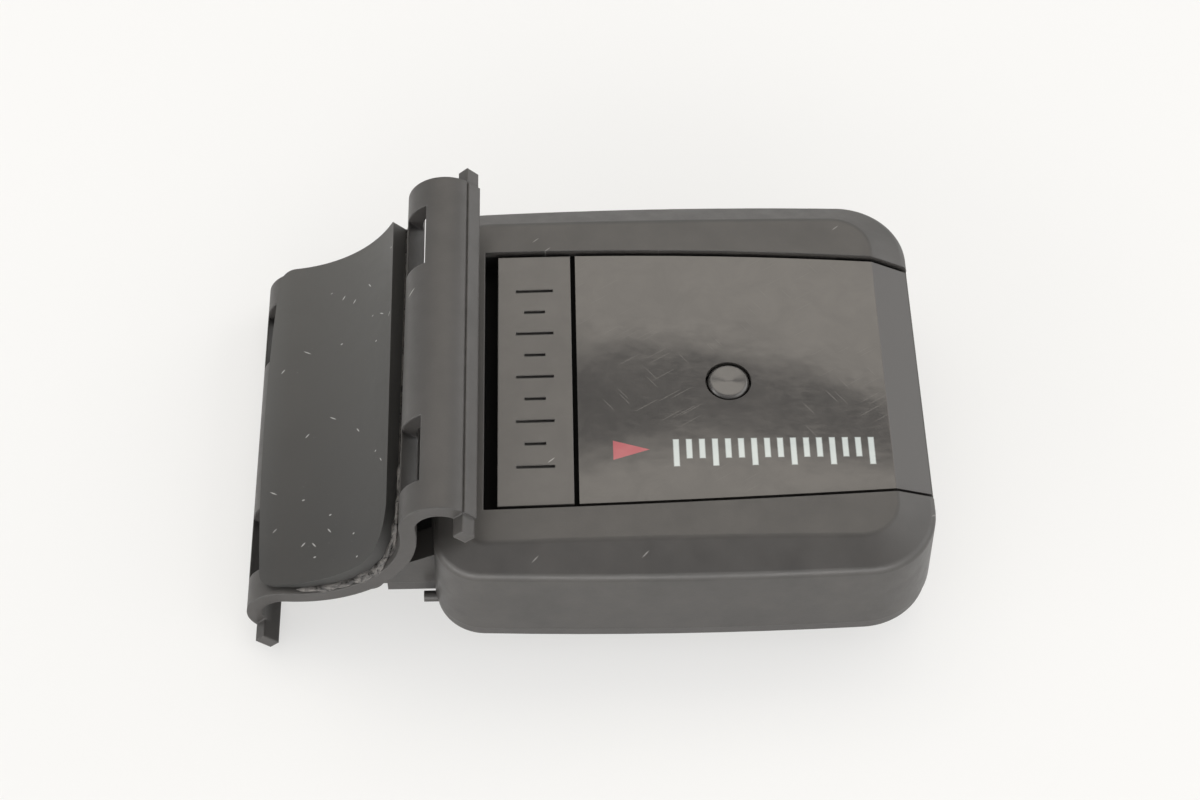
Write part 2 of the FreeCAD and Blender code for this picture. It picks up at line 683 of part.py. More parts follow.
def make_battery():
    cell = new_body("coin_cell")
    profile = new_sketch(cell, "cell_profile", "XZ_Plane")
    top = "dims.cell_thick"
    polygon(profile, [("0", "0"), ("dims.cell_radius - 0.4", "0"), ("dims.cell_radius", "0.4"),
                      ("dims.cell_radius", top + " - 0.8"), ("dims.cell_radius - 0.6", top + " - 0.5"),
                      ("dims.cell_radius - 1.0", top + " - 0.5"), ("dims.cell_radius - 1.2", top),
                      ("0", top)])
    turn(cell, profile, "cell_form", (profile, ["V_Axis"]))
    cell.setExpression("Placement.Base.z", "dims.cover_thick + dims.cell_lift")

    cover = new_body("battery_cover")
    disc = new_sketch(cover, "cover_outline")
    circle(disc, "0", "0", "dims.cover_radius")
    pad(cover, disc, "cover", "dims.cover_thick")
    dish = new_sketch(cover, "dish_outline")
    circle(dish, "0", "0", "dims.cover_dish_radius")
    cut(cover, dish, "dish", "dims.cover_dish_depth", upward=True)
    bar = new_sketch(cover, "grip_bar_outline")
    rectangle(bar, "-dims.cover_dish_radius - 0.5", "dims.cover_dish_radius + 0.5",
              "-dims.grip_bar_width / 2", "dims.grip_bar_width / 2")
    pad(cover, bar, "grip_bar", "dims.cover_thick")
    lug = new_sketch(cover, "lug_outline", offset="dims.lug_floor + dims.lug_gap")
    rectangle(lug, "-dims.lug_width / 2", "dims.lug_width / 2",
              "dims.cover_radius - 1", "dims.cover_radius + dims.lug_reach - 0.2")
    first_lug = pad(cover, lug, "lug", "dims.lug_thick")
    round_about(cover, first_lug, "lugs", 3)
    cover.Placement.Rotation = FreeCAD.Rotation(FreeCAD.Vector(0, 0, 1), 60)

    ring = doc.addObject("Part::Torus", "cover_ring")
    ring.Label = "battery_cover_seal"
    ring.setExpression("Radius1", "dims.cover_radius - dims.ring_section - 0.05")
    ring.setExpression("Radius2", "dims.ring_section")
    ring.setExpression("Placement.Base.z", "dims.cover_thick + dims.ring_section")
    return [cell, cover, ring]


def make_board():
    board = new_body("circuit_board")
    outline = new_sketch(board, "board_outline", offset=BOARD_LOW)
    half_x = "dims.board_length / 2"
    half_y = "dims.board_width / 2"
    rectangle(outline, "-" + half_x, half_x, "-" + half_y, half_y)
    pad(board, outline, "board", "dims.board_thick")

    switch = new_body("tact_switch")
    base = new_sketch(switch, "switch_outline", offset=BOARD_TOP)
    half = "dims.switch_size / 2"
    rectangle(base, "-" + half, half, "-" + half, half)
    pad(switch, base, "switch_case", "dims.switch_height")
    seat = "%s - dims.button_travel - dims.plunger_seat - dims.button_travel - 0.15" % PLUNGER_TOP
    guide = new_sketch(switch, "plunger_guide_outline", offset=seat)
    circle(guide, "0", "0", "dims.plunger_radius + dims.plunger_clearance")
    cut(switch, guide, "plunger_guide", upward=True)

    plunger = new_body("switch_plunger")
    low = "(%s) + dims.switch_height - dims.plunger_seat" % BOARD_TOP
    nose = new_sketch(plunger, "plunger_outline", offset=low)
    circle(nose, "0", "0", "dims.plunger_radius")
    pad(plunger, nose, "plunger", "%s - (%s)" % (PLUNGER_TOP, low))
    for item in (switch, plunger):
        item.setExpression("Placement.Base.x", "dims.button_x")
        item.setExpression("Placement.Base.y", "dims.button_y")

    chip = new_body("radio_chip")
    square = new_sketch(chip, "chip_outline", offset=BOARD_TOP)
    half = "dims.chip_size / 2"
    rectangle(square, "-" + half, half, "-" + half, half)
    pad(chip, square, "package", "dims.chip_height")
    dot = new_sketch(chip, "first_pin_dot", offset="(%s) + dims.chip_height - 0.1" % BOARD_TOP)
    circle(dot, "-%s + 0.8" % half, "-%s + 0.8" % half, "0.3")
    cut(chip, dot, "dot", upward=True)
    chip.setExpression("Placement.Base.x", "dims.chip_x")
    chip.setExpression("Placement.Base.y", "dims.chip_y")

    crystal = new_body("timing_crystal")
    can = new_sketch(crystal, "can_outline", offset=BOARD_TOP)
    rectangle(can, "-dims.crystal_length / 2", "dims.crystal_length / 2",
              "-dims.crystal_width / 2", "dims.crystal_width / 2")
    pad(crystal, can, "can", "dims.crystal_height")
    crystal.setExpression("Placement.Base.x", "dims.chip_x")
    crystal.setExpression("Placement.Base.y", "dims.crystal_y")

    row = new_body("chip_capacitors")
    blocks = new_sketch(row, "capacitor_outlines", offset=BOARD_TOP)
    for step in range(int(size("capacitor_count"))):
        x = "%d * dims.capacitor_pitch" % step
        rectangle(blocks, x, x + " + dims.capacitor_width", "0", "dims.capacitor_length")
    pad(row, blocks, "capacitors", "dims.capacitor_width")
    row.setExpression("Placement.Base.x", "dims.chip_x - dims.chip_size / 2")
    row.setExpression("Placement.Base.y", "dims.chip_y + dims.chip_size / 2 + 1")
    return [board, switch, plunger, chip, crystal, row]


def make_reed_switch():
    """The glass reed that the wheel magnet closes, with its two leads bent to the board."""
    glass = new_body("reed_switch")
    profile = new_sketch(glass, "glass_profile", "YZ_Plane")
    half = "dims.reed_length / 2"
    round_end = "dims.reed_radius * 0.6"
    polygon(profile, [("-" + half, "0"), ("-" + half, "dims.reed_radius * 0.5"),
                      ("-%s + %s" % (half, round_end), "dims.reed_radius"),
                      ("%s - %s" % (half, round_end), "dims.reed_radius"),
                      (half, "dims.reed_radius * 0.5"), (half, "0")])
    turn(glass, profile, "glass_tube", (profile, ["H_Axis"]))
    leads = new_body("reed_leads")
    height = "(dims.reed_radius + 0.1)"
    for name, sign in (("near", "-"), ("far", "")):
        across = new_sketch(leads, name + "_lead_section", "XZ_Plane", None)
        across.setExpression("AttachmentOffset.Base.z", "%s(%s)" % ("-" if sign == "" else "", half))
        circle(across, "0", "0", "dims.lead_radius")
        pad(leads, across, name + "_lead", "dims.lead_reach", reverse=(sign == ""))
        foot = new_sketch(leads, name + "_foot_section", offset="-%s" % height)
        y = "%s(%s + dims.lead_reach - dims.lead_radius)" % (sign, half)
        circle(foot, "0", y, "dims.lead_radius")
        pad(leads, foot, name + "_foot", height)
    for body in (glass, leads):
        body.setExpression("Placement.Base.x", "dims.reed_x")
        body.setExpression("Placement.Base.z", "(%s) + %s" % (BOARD_TOP, height))
    return [glass, leads]


def make_metal_strips():
    antenna = new_body("antenna_strip")
    profile = new_sketch(antenna, "antenna_profile", "YZ_Plane")
    half = "dims.antenna_length / 2"
    thick = "dims.sheet_metal"
    high = "dims.antenna_height"
    polygon(profile, [("-" + half, "0"), ("-%s + %s" % (half, thick), "0"),
                      ("-%s + %s" % (half, thick), "%s - %s" % (high, thick)),
                      ("%s - %s" % (half, thick), "%s - %s" % (high, thick)),
                      ("%s - %s" % (half, thick), "0"), (half, "0"), (half, high), ("-" + half, high)])
    pad(antenna, profile, "strip", "dims.antenna_width")
    antenna.setExpression("Placement.Base.x", "dims.board_length / 2 - dims.antenna_width - 1")
    antenna.setExpression("Placement.Base.z", BOARD_TOP)

    plus = new_body("side_contact")
    profile = new_sketch(plus, "side_contact_profile", "XZ_Plane")
    board = BOARD_LOW
    inner = "dims.cell_radius + 0.02"
    outer = "%s + %s" % (inner, thick)
    low = PLATE_TOP + " + 0.2"
    polygon(profile, [(inner, low), (outer, low), (outer, "(%s) - %s" % (board, thick)),
                      ("%s + 2" % outer, "(%s) - %s" % (board, thick)), ("%s + 2" % outer, board),
                      (inner, board)])
    pad(plus, profile, "side_spring", "dims.contact_width", both_ways=True)

    minus = new_body("top_contact")
    profile = new_sketch(minus, "top_contact_profile", "XZ_Plane")
    touch = "dims.cover_thick + dims.cell_lift + dims.cell_thick + 0.01"
    polygon(profile, [("-5", board), ("-5", "(%s) - %s" % (board, thick)),
                      ("-3", "(%s) - %s" % (board, thick)), ("2", touch), ("4", touch),
                      ("4", "%s + %s" % (touch, thick)), ("2", "%s + %s" % (touch, thick)), ("-3", board)])
    pad(minus, profile, "leaf_spring", "dims.contact_width", both_ways=True)
    return [antenna, plus, minus]


def make_case_screws():
    screws = []
    for number, (sx, sy) in enumerate(((1, 1), (1, -1), (-1, 1), (-1, -1)), start=1):
        head = doc.addObject("Part::Cylinder", "screw_head_%d" % number)
        head.setExpression("Radius", "dims.screw_head_radius")
        head.setExpression("Height", "dims.screw_head_height")
        shank = doc.addObject("Part::Cylinder", "screw_shank_%d" % number)
        shank.setExpression("Radius", "dims.screw_radius")
        shank.setExpression("Height", "dims.screw_length")
        slot = doc.addObject("Part::Box", "screw_slot_%d" % number)
        slot.setExpression("Length", "dims.screw_head_radius * 3")
        slot.Width = 0.5
        slot.Height = 0.4
        slot.setExpression("Placement.Base.x", "%d * dims.screw_x - dims.screw_head_radius * 1.5" % sx)
        slot.setExpression("Placement.Base.y", "%d * dims.screw_y - 0.25" % sy)
        head_low = "dims.rim_lift + dims.screw_sink - dims.screw_head_height"
        slot.setExpression("Placement.Base.z", head_low)
        for item, low in ((head, head_low), (shank, "dims.rim_lift + dims.screw_sink - 0.1")):
            item.setExpression("Placement.Base.x", "%d * dims.screw_x" % sx)
            item.setExpression("Placement.Base.y", "%d * dims.screw_y" % sy)
            item.setExpression("Placement.Base.z", low)
        joined = doc.addObject("Part::Fuse", "screw_blank_%d" % number)
        joined.Base, joined.Tool = head, shank
        screw = doc.addObject("Part::Cut", "screw_%d" % number)
        screw.Base, screw.Tool = joined, slot
        screws.append(screw)
    group = doc.addObject("Part::Compound", "case_screws")
    group.Label = "case_screws"
    group.Links = screws
    return group


def make_hinge_pin():
    pin = doc.addObject("Part::Cylinder", "hinge_pin")
    pin.Label = "hinge_pin"
    pin.setExpression("Radius", "dims.pin_radius")
    pin.setExpression("Height", "(dims.cheek_outer_y - dims.pin_recess) * 2")
    pin.Placement.Rotation = FreeCAD.Rotation(FreeCAD.Vector(1, 0, 0), -90)
    pin.setExpression("Placement.Base.x", "dims.hinge_x")
    pin.setExpression("Placement.Base.y", "-(dims.cheek_outer_y - dims.pin_recess)")
    pin.setExpression("Placement.Base.z", "dims.hinge_z")

    washers = new_body("friction_washers")
    profile = new_sketch(washers, "washer_sections", "YZ_Plane")
    outer = "dims.cheek_inner_y - dims.washer_gap"
    inner = "%s - dims.washer_thick" % outer
    low = "dims.pin_radius + dims.pin_running_gap"
    high = "dims.cheek_radius"
    rectangle(profile, inner, outer, low, high)
    rectangle(profile, "-(%s)" % outer, "-(%s)" % inner, low, high)
    turn(washers, profile, "washers", (profile, ["H_Axis"]))
    washers.setExpression("Placement.Base.x", "dims.hinge_x")
    washers.setExpression("Placement.Base.z", "dims.hinge_z")
    return [pin, washers]


def place_with_bracket(body):
    """Tilts a piece of the bracket and brings its knuckle onto the hinge axis."""
    tilt = size("bracket_tilt")
    body.Placement.Rotation = FreeCAD.Rotation(FreeCAD.Vector(0, 1, 0), -tilt)
    body.setExpression("Placement.Rotation.Angle", "dims.bracket_tilt")
    body.Placement.Rotation.Axis = FreeCAD.Vector(0, -1, 0)
    across = "dims.knuckle_x * cos(dims.bracket_tilt * 1deg) - dims.knuckle_z * sin(dims.bracket_tilt * 1deg)"
    up = "dims.knuckle_x * sin(dims.bracket_tilt * 1deg) + dims.knuckle_z * cos(dims.bracket_tilt * 1deg)"
    body.setExpression("Placement.Base.x", "dims.hinge_x - (%s)" % across)
    body.setExpression("Placement.Base.z", "dims.hinge_z - (%s)" % up)


def bracket_section(sketch):
    """The folded section: a round saddle that runs over two arches into two short legs."""
    radius, wall = size("saddle_radius"), size("bracket_wall")
    arch, half = size("arch_radius"), size("bracket_half_width")
    leg = size("leg_bottom")
    top = radius - size("saddle_depth")
    arch_x = half - arch
    arch_z = top - math.sqrt((radius + arch) ** 2 - arch_x ** 2)
    swing = math.degrees(math.asin(arch_x / (radius + arch)))
    saddle = add_arc(sketch, (0, top), radius, 270 - swing, 270 + swing)
    under = add_arc(sketch, (0, top), radius + wall, 270 - swing, 270 + swing)
    crest_r = add_arc(sketch, (arch_x, arch_z), arch, 0, 90 + swing)
    inner_r = add_arc(sketch, (arch_x, arch_z), arch - wall, 0, 90 + swing)
    crest_l = add_arc(sketch, (-arch_x, arch_z), arch, 90 - swing, 180)
    inner_l = add_arc(sketch, (-arch_x, arch_z), arch - wall, 90 - swing, 180)
    leg_r = add_line(sketch, (half, arch_z), (half, leg))
    leg_l = add_line(sketch, (-half, arch_z), (-half, leg))
    back_r = add_line(sketch, (half - wall, arch_z), (half - wall, leg))
    back_l = add_line(sketch, (wall - half, arch_z), (wall - half, leg))
    end_r = add_line(sketch, (half, leg), (half - wall, leg))
    end_l = add_line(sketch, (-half, leg), (wall - half, leg))
    join(sketch, saddle, 2, crest_r, 2)
    join(sketch, saddle, 1, crest_l, 1)
    join(sketch, crest_r, 1, leg_r, 1)
    join(sketch, crest_l, 2, leg_l, 1)
    join(sketch, under, 2, inner_r, 2)
    join(sketch, under, 1, inner_l, 1)
    join(sketch, inner_r, 1, back_r, 1)
    join(sketch, inner_l, 2, back_l, 1)
    for end, outer, back in ((end_r, leg_r, back_r), (end_l, leg_l, back_l)):
        sketch.addConstraint(Sketcher.Constraint("Coincident", end, 1, outer, 2))
        sketch.addConstraint(Sketcher.Constraint("Coincident", end, 2, back, 2))
        sketch.addConstraint(Sketcher.Constraint("Horizontal", end))
        sketch.addConstraint(Sketcher.Constraint("Vertical", outer))
        sketch.addConstraint(Sketcher.Constraint("Vertical", back))
        bind(sketch, "DistanceY", end, 1, to="dims.leg_bottom")
    for outer, inner in ((saddle, under), (crest_r, inner_r), (crest_l, inner_l)):
        sketch.addConstraint(Sketcher.Constraint("Coincident", outer, 3, inner, 3))
    bind(sketch, "Radius", saddle, to="dims.saddle_radius")
    bind(sketch, "DistanceY", saddle, 3, to="dims.saddle_radius - dims.saddle_depth")
    sketch.addConstraint(Sketcher.Constraint("PointOnObject", saddle, 3, -2))
    bind(sketch, "Radius", crest_r, to="dims.arch_radius")
    bind(sketch, "DistanceX", leg_r, 1, to="dims.bracket_half_width")
    bind(sketch, "DistanceX", leg_l, 1, to="-dims.bracket_half_width")
    bind(sketch, "Radius", crest_l, to="dims.arch_radius")
    bind(sketch, "DistanceX", back_r, 1, to="dims.bracket_half_width - dims.bracket_wall")


def make_bracket():
    body = new_body("fork_bracket")
    section = new_sketch(body, "bracket_section", "XZ_Plane")
    bracket_section(section)
    pad(body, section, "bracket_form", "dims.bracket_length", both_ways=True)

    ears = new_sketch(body, "ear_sections", "XZ_Plane")
    inner = "dims.bracket_half_width - dims.bracket_wall"
    outer = "dims.bracket_half_width - dims.ear_inset"
    rectangle(ears, inner, outer, "dims.leg_bottom", "dims.leg_bottom + dims.right_ear_height")
    rectangle(ears, "-(%s)" % outer, "-(%s)" % inner, "dims.leg_bottom", "dims.leg_bottom + dims.left_ear_height")
    pad(body, ears, "ears", "dims.bracket_length + dims.ear_reach * 2", both_ways=True)
    groove = new_sketch(body, "leg_groove_section", "XZ_Plane")
    low = "dims.leg_bottom + dims.leg_groove_height"
    rectangle(groove, "dims.bracket_half_width - dims.leg_groove_size", "dims.bracket_half_width + 1",
              low, low + " + dims.leg_groove_size")
    cut(body, groove, "leg_groove", "dims.bracket_length", both_ways=True)

    knuckle = new_sketch(body, "knuckle_section", "XZ_Plane")
    circle(knuckle, "dims.knuckle_x", "dims.knuckle_z", "dims.knuckle_radius")
    width = "(dims.cheek_inner_y - dims.washer_thick - dims.washer_gap * 2) * 2"
    pad(body, knuckle, "knuckle", width, both_ways=True)
    web = new_sketch(body, "web_section", "XZ_Plane")
    rectangle(web, "dims.knuckle_x - dims.web_width / 2", "dims.knuckle_x + dims.web_width / 2",
              "dims.knuckle_z", "-dims.saddle_depth - dims.bracket_wall / 2 + 0.9")
    pad(body, web, "web", width, both_ways=True)
    bore = new_sketch(body, "knuckle_bore_section", "XZ_Plane")
    circle(bore, "dims.knuckle_x", "dims.knuckle_z", "dims.pin_radius + dims.pin_running_gap")
    cut(body, bore, "knuckle_bore", "dims.bracket_length", both_ways=True)

    slots = new_sketch(body, "tie_slot_outlines")
    for near in ("-dims.slot_y - dims.slot_length / 2", "dims.slot_y - dims.slot_length / 2"):
        far = near + " + dims.slot_length"
        rectangle(slots, "dims.right_slot_x", "dims.right_slot_x + dims.right_slot_width", near, far)
        rectangle(slots, "-dims.left_slot_x - dims.left_slot_width", "-dims.left_slot_x", near, far)
    cut(body, slots, "tie_slots", "dims.bracket_length", both_ways=True)
    place_with_bracket(body)
    return body


def saddle_centre():
    return (0, size("saddle_radius") - size("saddle_depth"))


def make_adhesive():
    """The thin film under the pad; it shows where the pad's corner is rounded off."""
    body = new_body("pad_adhesive")
    section = new_sketch(body, "adhesive_section", "XZ_Plane")
    outer, inner = "dims.saddle_radius", "dims.saddle_radius - dims.adhesive_thick"
    swing = size("adhesive_angle")
    centre = saddle_centre()
    far = add_arc(section, centre, value(outer), 270 - swing, 270 + swing)
    near = add_arc(section, centre, value(inner), 270 - swing, 270 + swing)
    for sign, end in ((1, 2), (-1, 1)):
        line = radial_line(section, centre, value(outer), value(inner), 270 + sign * swing)
        section.addConstraint(Sketcher.Constraint("Coincident", line, 1, far, end))
        section.addConstraint(Sketcher.Constraint("Coincident", line, 2, near, end))
    section.addConstraint(Sketcher.Constraint("Coincident", far, 3, near, 3))
    section.addConstraint(Sketcher.Constraint("PointOnObject", far, 3, -2))
    bind(section, "DistanceY", far, 3, to="dims.saddle_radius - dims.saddle_depth")
    side = "(%s) * sin(dims.adhesive_angle * 1deg)"
    for arc, radius in ((far, outer), (near, inner)):
        bind(section, "Radius", arc, to=radius)
        bind(section, "DistanceX", arc, 2, to=side % radius)
        bind(section, "DistanceX", arc, 1, to="-" + side % radius)
    length = "dims.pad_length - 0.4"
    pad(body, section, "adhesive_film", length, both_ways=True)
    trim_corners(body, "adhesive", "-" + side % outer, "dims.pad_right_x + 0.25", length, "dims.pad_corner")
    place_with_bracket(body)
    body.setExpression("Placement.Base.y", "dims.pad_shift")
    return body


def radial_line(sketch, centre, first, second, angle):
    """A short line that points at a centre, between two radii at an angle in degrees."""
    way = (math.cos(math.radians(angle)), math.sin(math.radians(angle)))
    ends = [(centre[0] + r * way[0], centre[1] + r * way[1]) for r in (first, second)]
    return add_line(sketch, ends[0], ends[1])


ARCH_X = "(dims.bracket_half_width - dims.arch_radius)"
ARCH_Z = ("(dims.saddle_radius - dims.saddle_depth"
          " - sqrt(pow(dims.saddle_radius + dims.arch_radius; 2) - pow(%s; 2)))" % ARCH_X)


def lap_radius(radius, low_z):
    """The radius at which the lap over the left arch runs on smoothly from the pad's top."""
    return ("(sqrt(pow(%s; 2) + pow(%s + %s - %s; 2)) - %s)"
            % (ARCH_X, low_z, radius, ARCH_Z, radius))


def pad_section(body, name, offset, radius, low_z):
    """One end of the pad: its underside follows the saddle, its top is an arc of its own."""
    section = new_sketch(body, name, "XZ_Plane", offset)
    saddle_low = "dims.saddle_radius - dims.adhesive_thick"
    arch_low = "dims.arch_radius + dims.adhesive_thick"
    arch_top = lap_radius(radius, low_z)
    centre = saddle_centre()
    top_centre = (0, value(low_z) + value(radius))
    arch_centre = (-value(ARCH_X), value(ARCH_Z))
    meet = math.degrees(math.atan2(value(ARCH_X), centre[1] - arch_centre[1]))
    lean = math.degrees(math.atan2(value(ARCH_X), top_centre[1] - arch_centre[1]))
    wrap = size("pad_wrap_angle")
    right = size("pad_right_x")
    low_swing = math.degrees(math.asin(right / value(saddle_low)))
    top_swing = math.degrees(math.asin(right / value(radius)))
    low = add_arc(section, centre, value(saddle_low), 270 - meet, 270 + low_swing)
    top = add_arc(section, top_centre, value(radius), 270 - lean, 270 + top_swing)
    lap_low = add_arc(section, arch_centre, value(arch_low), 90 - meet, wrap)
    lap_top = add_arc(section, arch_centre, value(arch_top), 90 - lean, wrap)
    right_end = add_line(section, (right, centre[1] - math.sqrt(value(saddle_low) ** 2 - right ** 2)),
                         (right, top_centre[1] - math.sqrt(value(radius) ** 2 - right ** 2)))
    left_end = radial_line(section, arch_centre, value(arch_low), value(arch_top), wrap)
    join(section, low, 1, lap_low, 1)
    join(section, top, 1, lap_top, 1)
    for line, first, second in ((right_end, low, top), (left_end, lap_low, lap_top)):
        section.addConstraint(Sketcher.Constraint("Coincident", line, 1, first, 2))
        section.addConstraint(Sketcher.Constraint("Coincident", line, 2, second, 2))
    section.addConstraint(Sketcher.Constraint("Coincident", lap_low, 3, lap_top, 3))
    section.addConstraint(Sketcher.Constraint("Vertical", right_end))
    for arc, height in ((low, "dims.saddle_radius - dims.saddle_depth"), (top, "%s + %s" % (low_z, radius))):
        section.addConstraint(Sketcher.Constraint("PointOnObject", arc, 3, -2))
        bind(section, "DistanceY", arc, 3, to=height)
    bind(section, "Radius", low, to=saddle_low)
    bind(section, "Radius", top, to=radius)
    bind(section, "Radius", lap_low, to=arch_low)
    bind(section, "DistanceX", lap_low, 3, to="-" + ARCH_X)
    bind(section, "DistanceX", low, 2, to="dims.pad_right_x")
    lap = "(%s) * cos(dims.pad_wrap_angle * 1deg) - " + ARCH_X
    bind(section, "DistanceX", lap_low, 2, to=lap % arch_low)
    bind(section, "DistanceX", lap_top, 2, to=lap % arch_top)
    return section


def make_rubber_pad():
    """The pad lines the saddle, laps over the left arch and stands off a little at its far end."""
    body = new_body("rubber_pad")
    near = pad_section(body, "near_section", "dims.pad_length / 2", "dims.pad_near_radius", "dims.pad_near_z")
    far = pad_section(body, "far_section", "-dims.pad_length / 2", "dims.pad_far_radius", "dims.pad_far_z")
    sheet = body.newObject("PartDesign::AdditiveLoft", "pad_sheet")
    sheet.Profile = near
    sheet.Sections = [far]
    sheet.Ruled = True
    doc.recompute()
    left = "%s * cos(dims.pad_wrap_angle * 1deg) - %s" % (lap_radius("dims.pad_far_radius", "dims.pad_far_z"), ARCH_X)
    trim_corners(body, "pad", left, "dims.pad_right_x", "dims.pad_length", "dims.pad_big_corner")
    place_with_bracket(body)
    body.setExpression("Placement.Base.y", "dims.pad_shift")
    return body


def trim_corners(body, name, left_x, right_x, length, big_corner):
    """Cuts the sheet to a plan with round corners and a bowed left side."""
    plan = new_sketch(body, name + "_plan")
    half_y = "(%s) / 2" % length
    edge = "%s + 3" % half_y
    rectangle(plan, "(%s) - 3" % left_x, "(%s) + 3" % right_x, "-(%s)" % edge, edge)
    x0, x1, y = value(left_x), value(right_x), value(half_y)
    small, big, tight = size("pad_corner"), value(big_corner), size("pad_square_corner")
    bottom = add_line(plan, (x0 + small, -y), (x1 - big, -y))
    near_right = add_arc(plan, (x1 - big, big - y), big, 270, 360)
    right = add_line(plan, (x1, big - y), (x1, y - tight))
    far_right = add_arc(plan, (x1 - tight, y - tight), tight, 0, 90)
    top = add_line(plan, (x1 - tight, y), (x0 + small, y))
    bow = size("pad_left_bow")
    swing = math.degrees(math.asin((y - small) / (bow - small)))
    corner_x = x0 + bow - math.sqrt((bow - small) ** 2 - (y - small) ** 2)
    far_left = add_arc(plan, (corner_x, y - small), small, 90, 180 - swing)
    left = add_arc(plan, (x0 + bow, 0), bow, 180 - swing, 180 + swing)
    near_left = add_arc(plan, (corner_x, small - y), small, 180 + swing, 270)
    chain = (bottom, near_right, right, far_right, top, far_left, left, near_left)
    for first, second in zip(chain, chain[1:] + chain[:1]):
        join(plan, first, 2, second, 1)
    for line in (bottom, top):
        plan.addConstraint(Sketcher.Constraint("Horizontal", line))
    plan.addConstraint(Sketcher.Constraint("Vertical", right))
    plan.addConstraint(Sketcher.Constraint("PointOnObject", left, 3, -1))
    bind(plan, "Radius", left, to="dims.pad_left_bow")
    bind(plan, "Radius", near_right, to=big_corner)
    bind(plan, "Radius", far_right, to="dims.pad_square_corner")
    for arc in (far_left, near_left):
        bind(plan, "Radius", arc, to="dims.pad_corner")
    bind(plan, "DistanceX", right, 1, to=right_x)
    bind(plan, "DistanceX", left, 3, to="(%s) + dims.pad_left_bow" % left_x)
    bind(plan, "DistanceY", bottom, 1, to="-" + half_y)
    bind(plan, "DistanceY", top, 1, to=half_y)
    cut(body, plan, name + "_trim", "dims.saddle_radius * 4", both_ways=True)


pieces = [make_base_plate(), make_case_gasket(), make_housing_shell(), make_gloss_panel(),
          make_label_strip()]
pieces += make_button()
pieces += make_battery()
pieces += make_board()
pieces += make_reed_switch()
pieces += make_metal_strips()
pieces += [make_case_screws()]
pieces += make_hinge_pin()
pieces += [make_bracket()]
pieces += [make_adhesive(), make_rubber_pad()]
doc.recompute()

for item in doc.Objects:
    if "Invalid" in item.State or "Error" in item.State:
        raise RuntimeError("%s did not recompute: %s" % (item.Label, item.State))

os.makedirs("parts", exist_ok=True)
for piece in pieces:
    shape = piece.Shape
    if shape.isNull() or not shape.isValid() or not shape.Solids:
        raise RuntimeError("%s has no valid solid" % piece.Label)
    shape.exportStep("parts/%s.step" % piece.Label)
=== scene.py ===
import math

import bmesh
import bpy
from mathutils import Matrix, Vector


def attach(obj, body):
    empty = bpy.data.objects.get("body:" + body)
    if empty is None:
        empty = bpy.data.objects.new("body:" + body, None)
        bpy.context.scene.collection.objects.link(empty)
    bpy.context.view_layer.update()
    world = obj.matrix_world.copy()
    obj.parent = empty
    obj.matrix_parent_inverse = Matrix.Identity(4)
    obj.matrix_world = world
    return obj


# Looks of a wireless wheel-speed transmitter on its swivelling fork bracket.
# Metres, in the same frame as the CAD: X along the casing, Y along the hinge pin, Z up.

MM = 0.001

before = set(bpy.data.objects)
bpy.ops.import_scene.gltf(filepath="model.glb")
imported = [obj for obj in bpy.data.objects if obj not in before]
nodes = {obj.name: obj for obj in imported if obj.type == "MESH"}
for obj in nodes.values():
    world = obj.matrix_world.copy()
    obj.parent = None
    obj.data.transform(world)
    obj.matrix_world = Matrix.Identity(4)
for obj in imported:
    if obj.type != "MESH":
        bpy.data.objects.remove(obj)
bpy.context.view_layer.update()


# Places on the part that its looks follow, in millimetres and degrees

# The recess in the casing's top that holds the panel and the strip.
RECESS_LEFT = -18.0
RECESS_RIGHT = 21.3
RECESS_HALF_WIDTH = 14.3
RECESS_FLOOR = 11.3
RECESS_SOFT_EDGE = 0.1

# How far below the top the recess counts as deep and gets painted shade: nothing at the first depth, all of
# it at the second.
TOP_HEIGHT = 13.75
SHADE_DEPTHS = (0.25, 0.5)

# The panel's sloping right end: where its matt look fades in, the height of its plane at X = 0, its fall.
END_FADE = (18.12, 18.28)
END_HEIGHT = 22.1
END_FALL = 0.459

# The bracket's saddle: its tilt, its arc, the height of the arc's centre, and the place these start from.
SADDLE_TILT = 44.0
SADDLE_RADIUS = 9.5
SADDLE_CENTRE = 5.35
SADDLE_X = -30.547
SADDLE_Z = 12.201

# The pad's near corner on the saddle, which the squeezed-out adhesive follows.
BEAD_ACROSS = 4.72
BEAD_START = -9.0
BEAD_CORNER = -12.7
BEAD_END = -17.38
BEAD_END_STEP = 0.4

# The printed scale on the panel: ticks in a row, every third one long, and a pointer to their left.
TICK_COUNT = 16
TICK_START = -1.1
TICK_PITCH = 1.15
TICK_WIDTH = 0.5
TICK_HEAD = -7.1
SHORT_TICK_FOOT = -9.1
LONG_TICK_FOOT = -9.9
LONG_TICK_EVERY = 3
POINTER_BASE = -6.4
POINTER_TIP = -3.2
POINTER_MIDDLE = -8.1
POINTER_HALF_WIDTH = 1.0
TICK_SOFT_EDGE = 0.05
POINTER_SOFT_EDGE = 0.03


# Node helpers. The owner of the nodes is a material or the world.

def new_material(name):
    material = bpy.data.materials.new(name)
    material.use_nodes = True
    return material


def shader_of(material):
    return material.node_tree.nodes["Principled BSDF"]


def add(owner, kind, **settings):
    """Adds a node. Settings are its properties, or its sockets where a key names one."""
    node = owner.node_tree.nodes.new(kind)
    for key, setting in settings.items():
        if hasattr(node, key):
            setattr(node, key, setting)
        else:
            node.inputs[key.replace("_", " ")].default_value = setting
    return node


def link(owner, source, target):
    owner.node_tree.links.new(source, target)


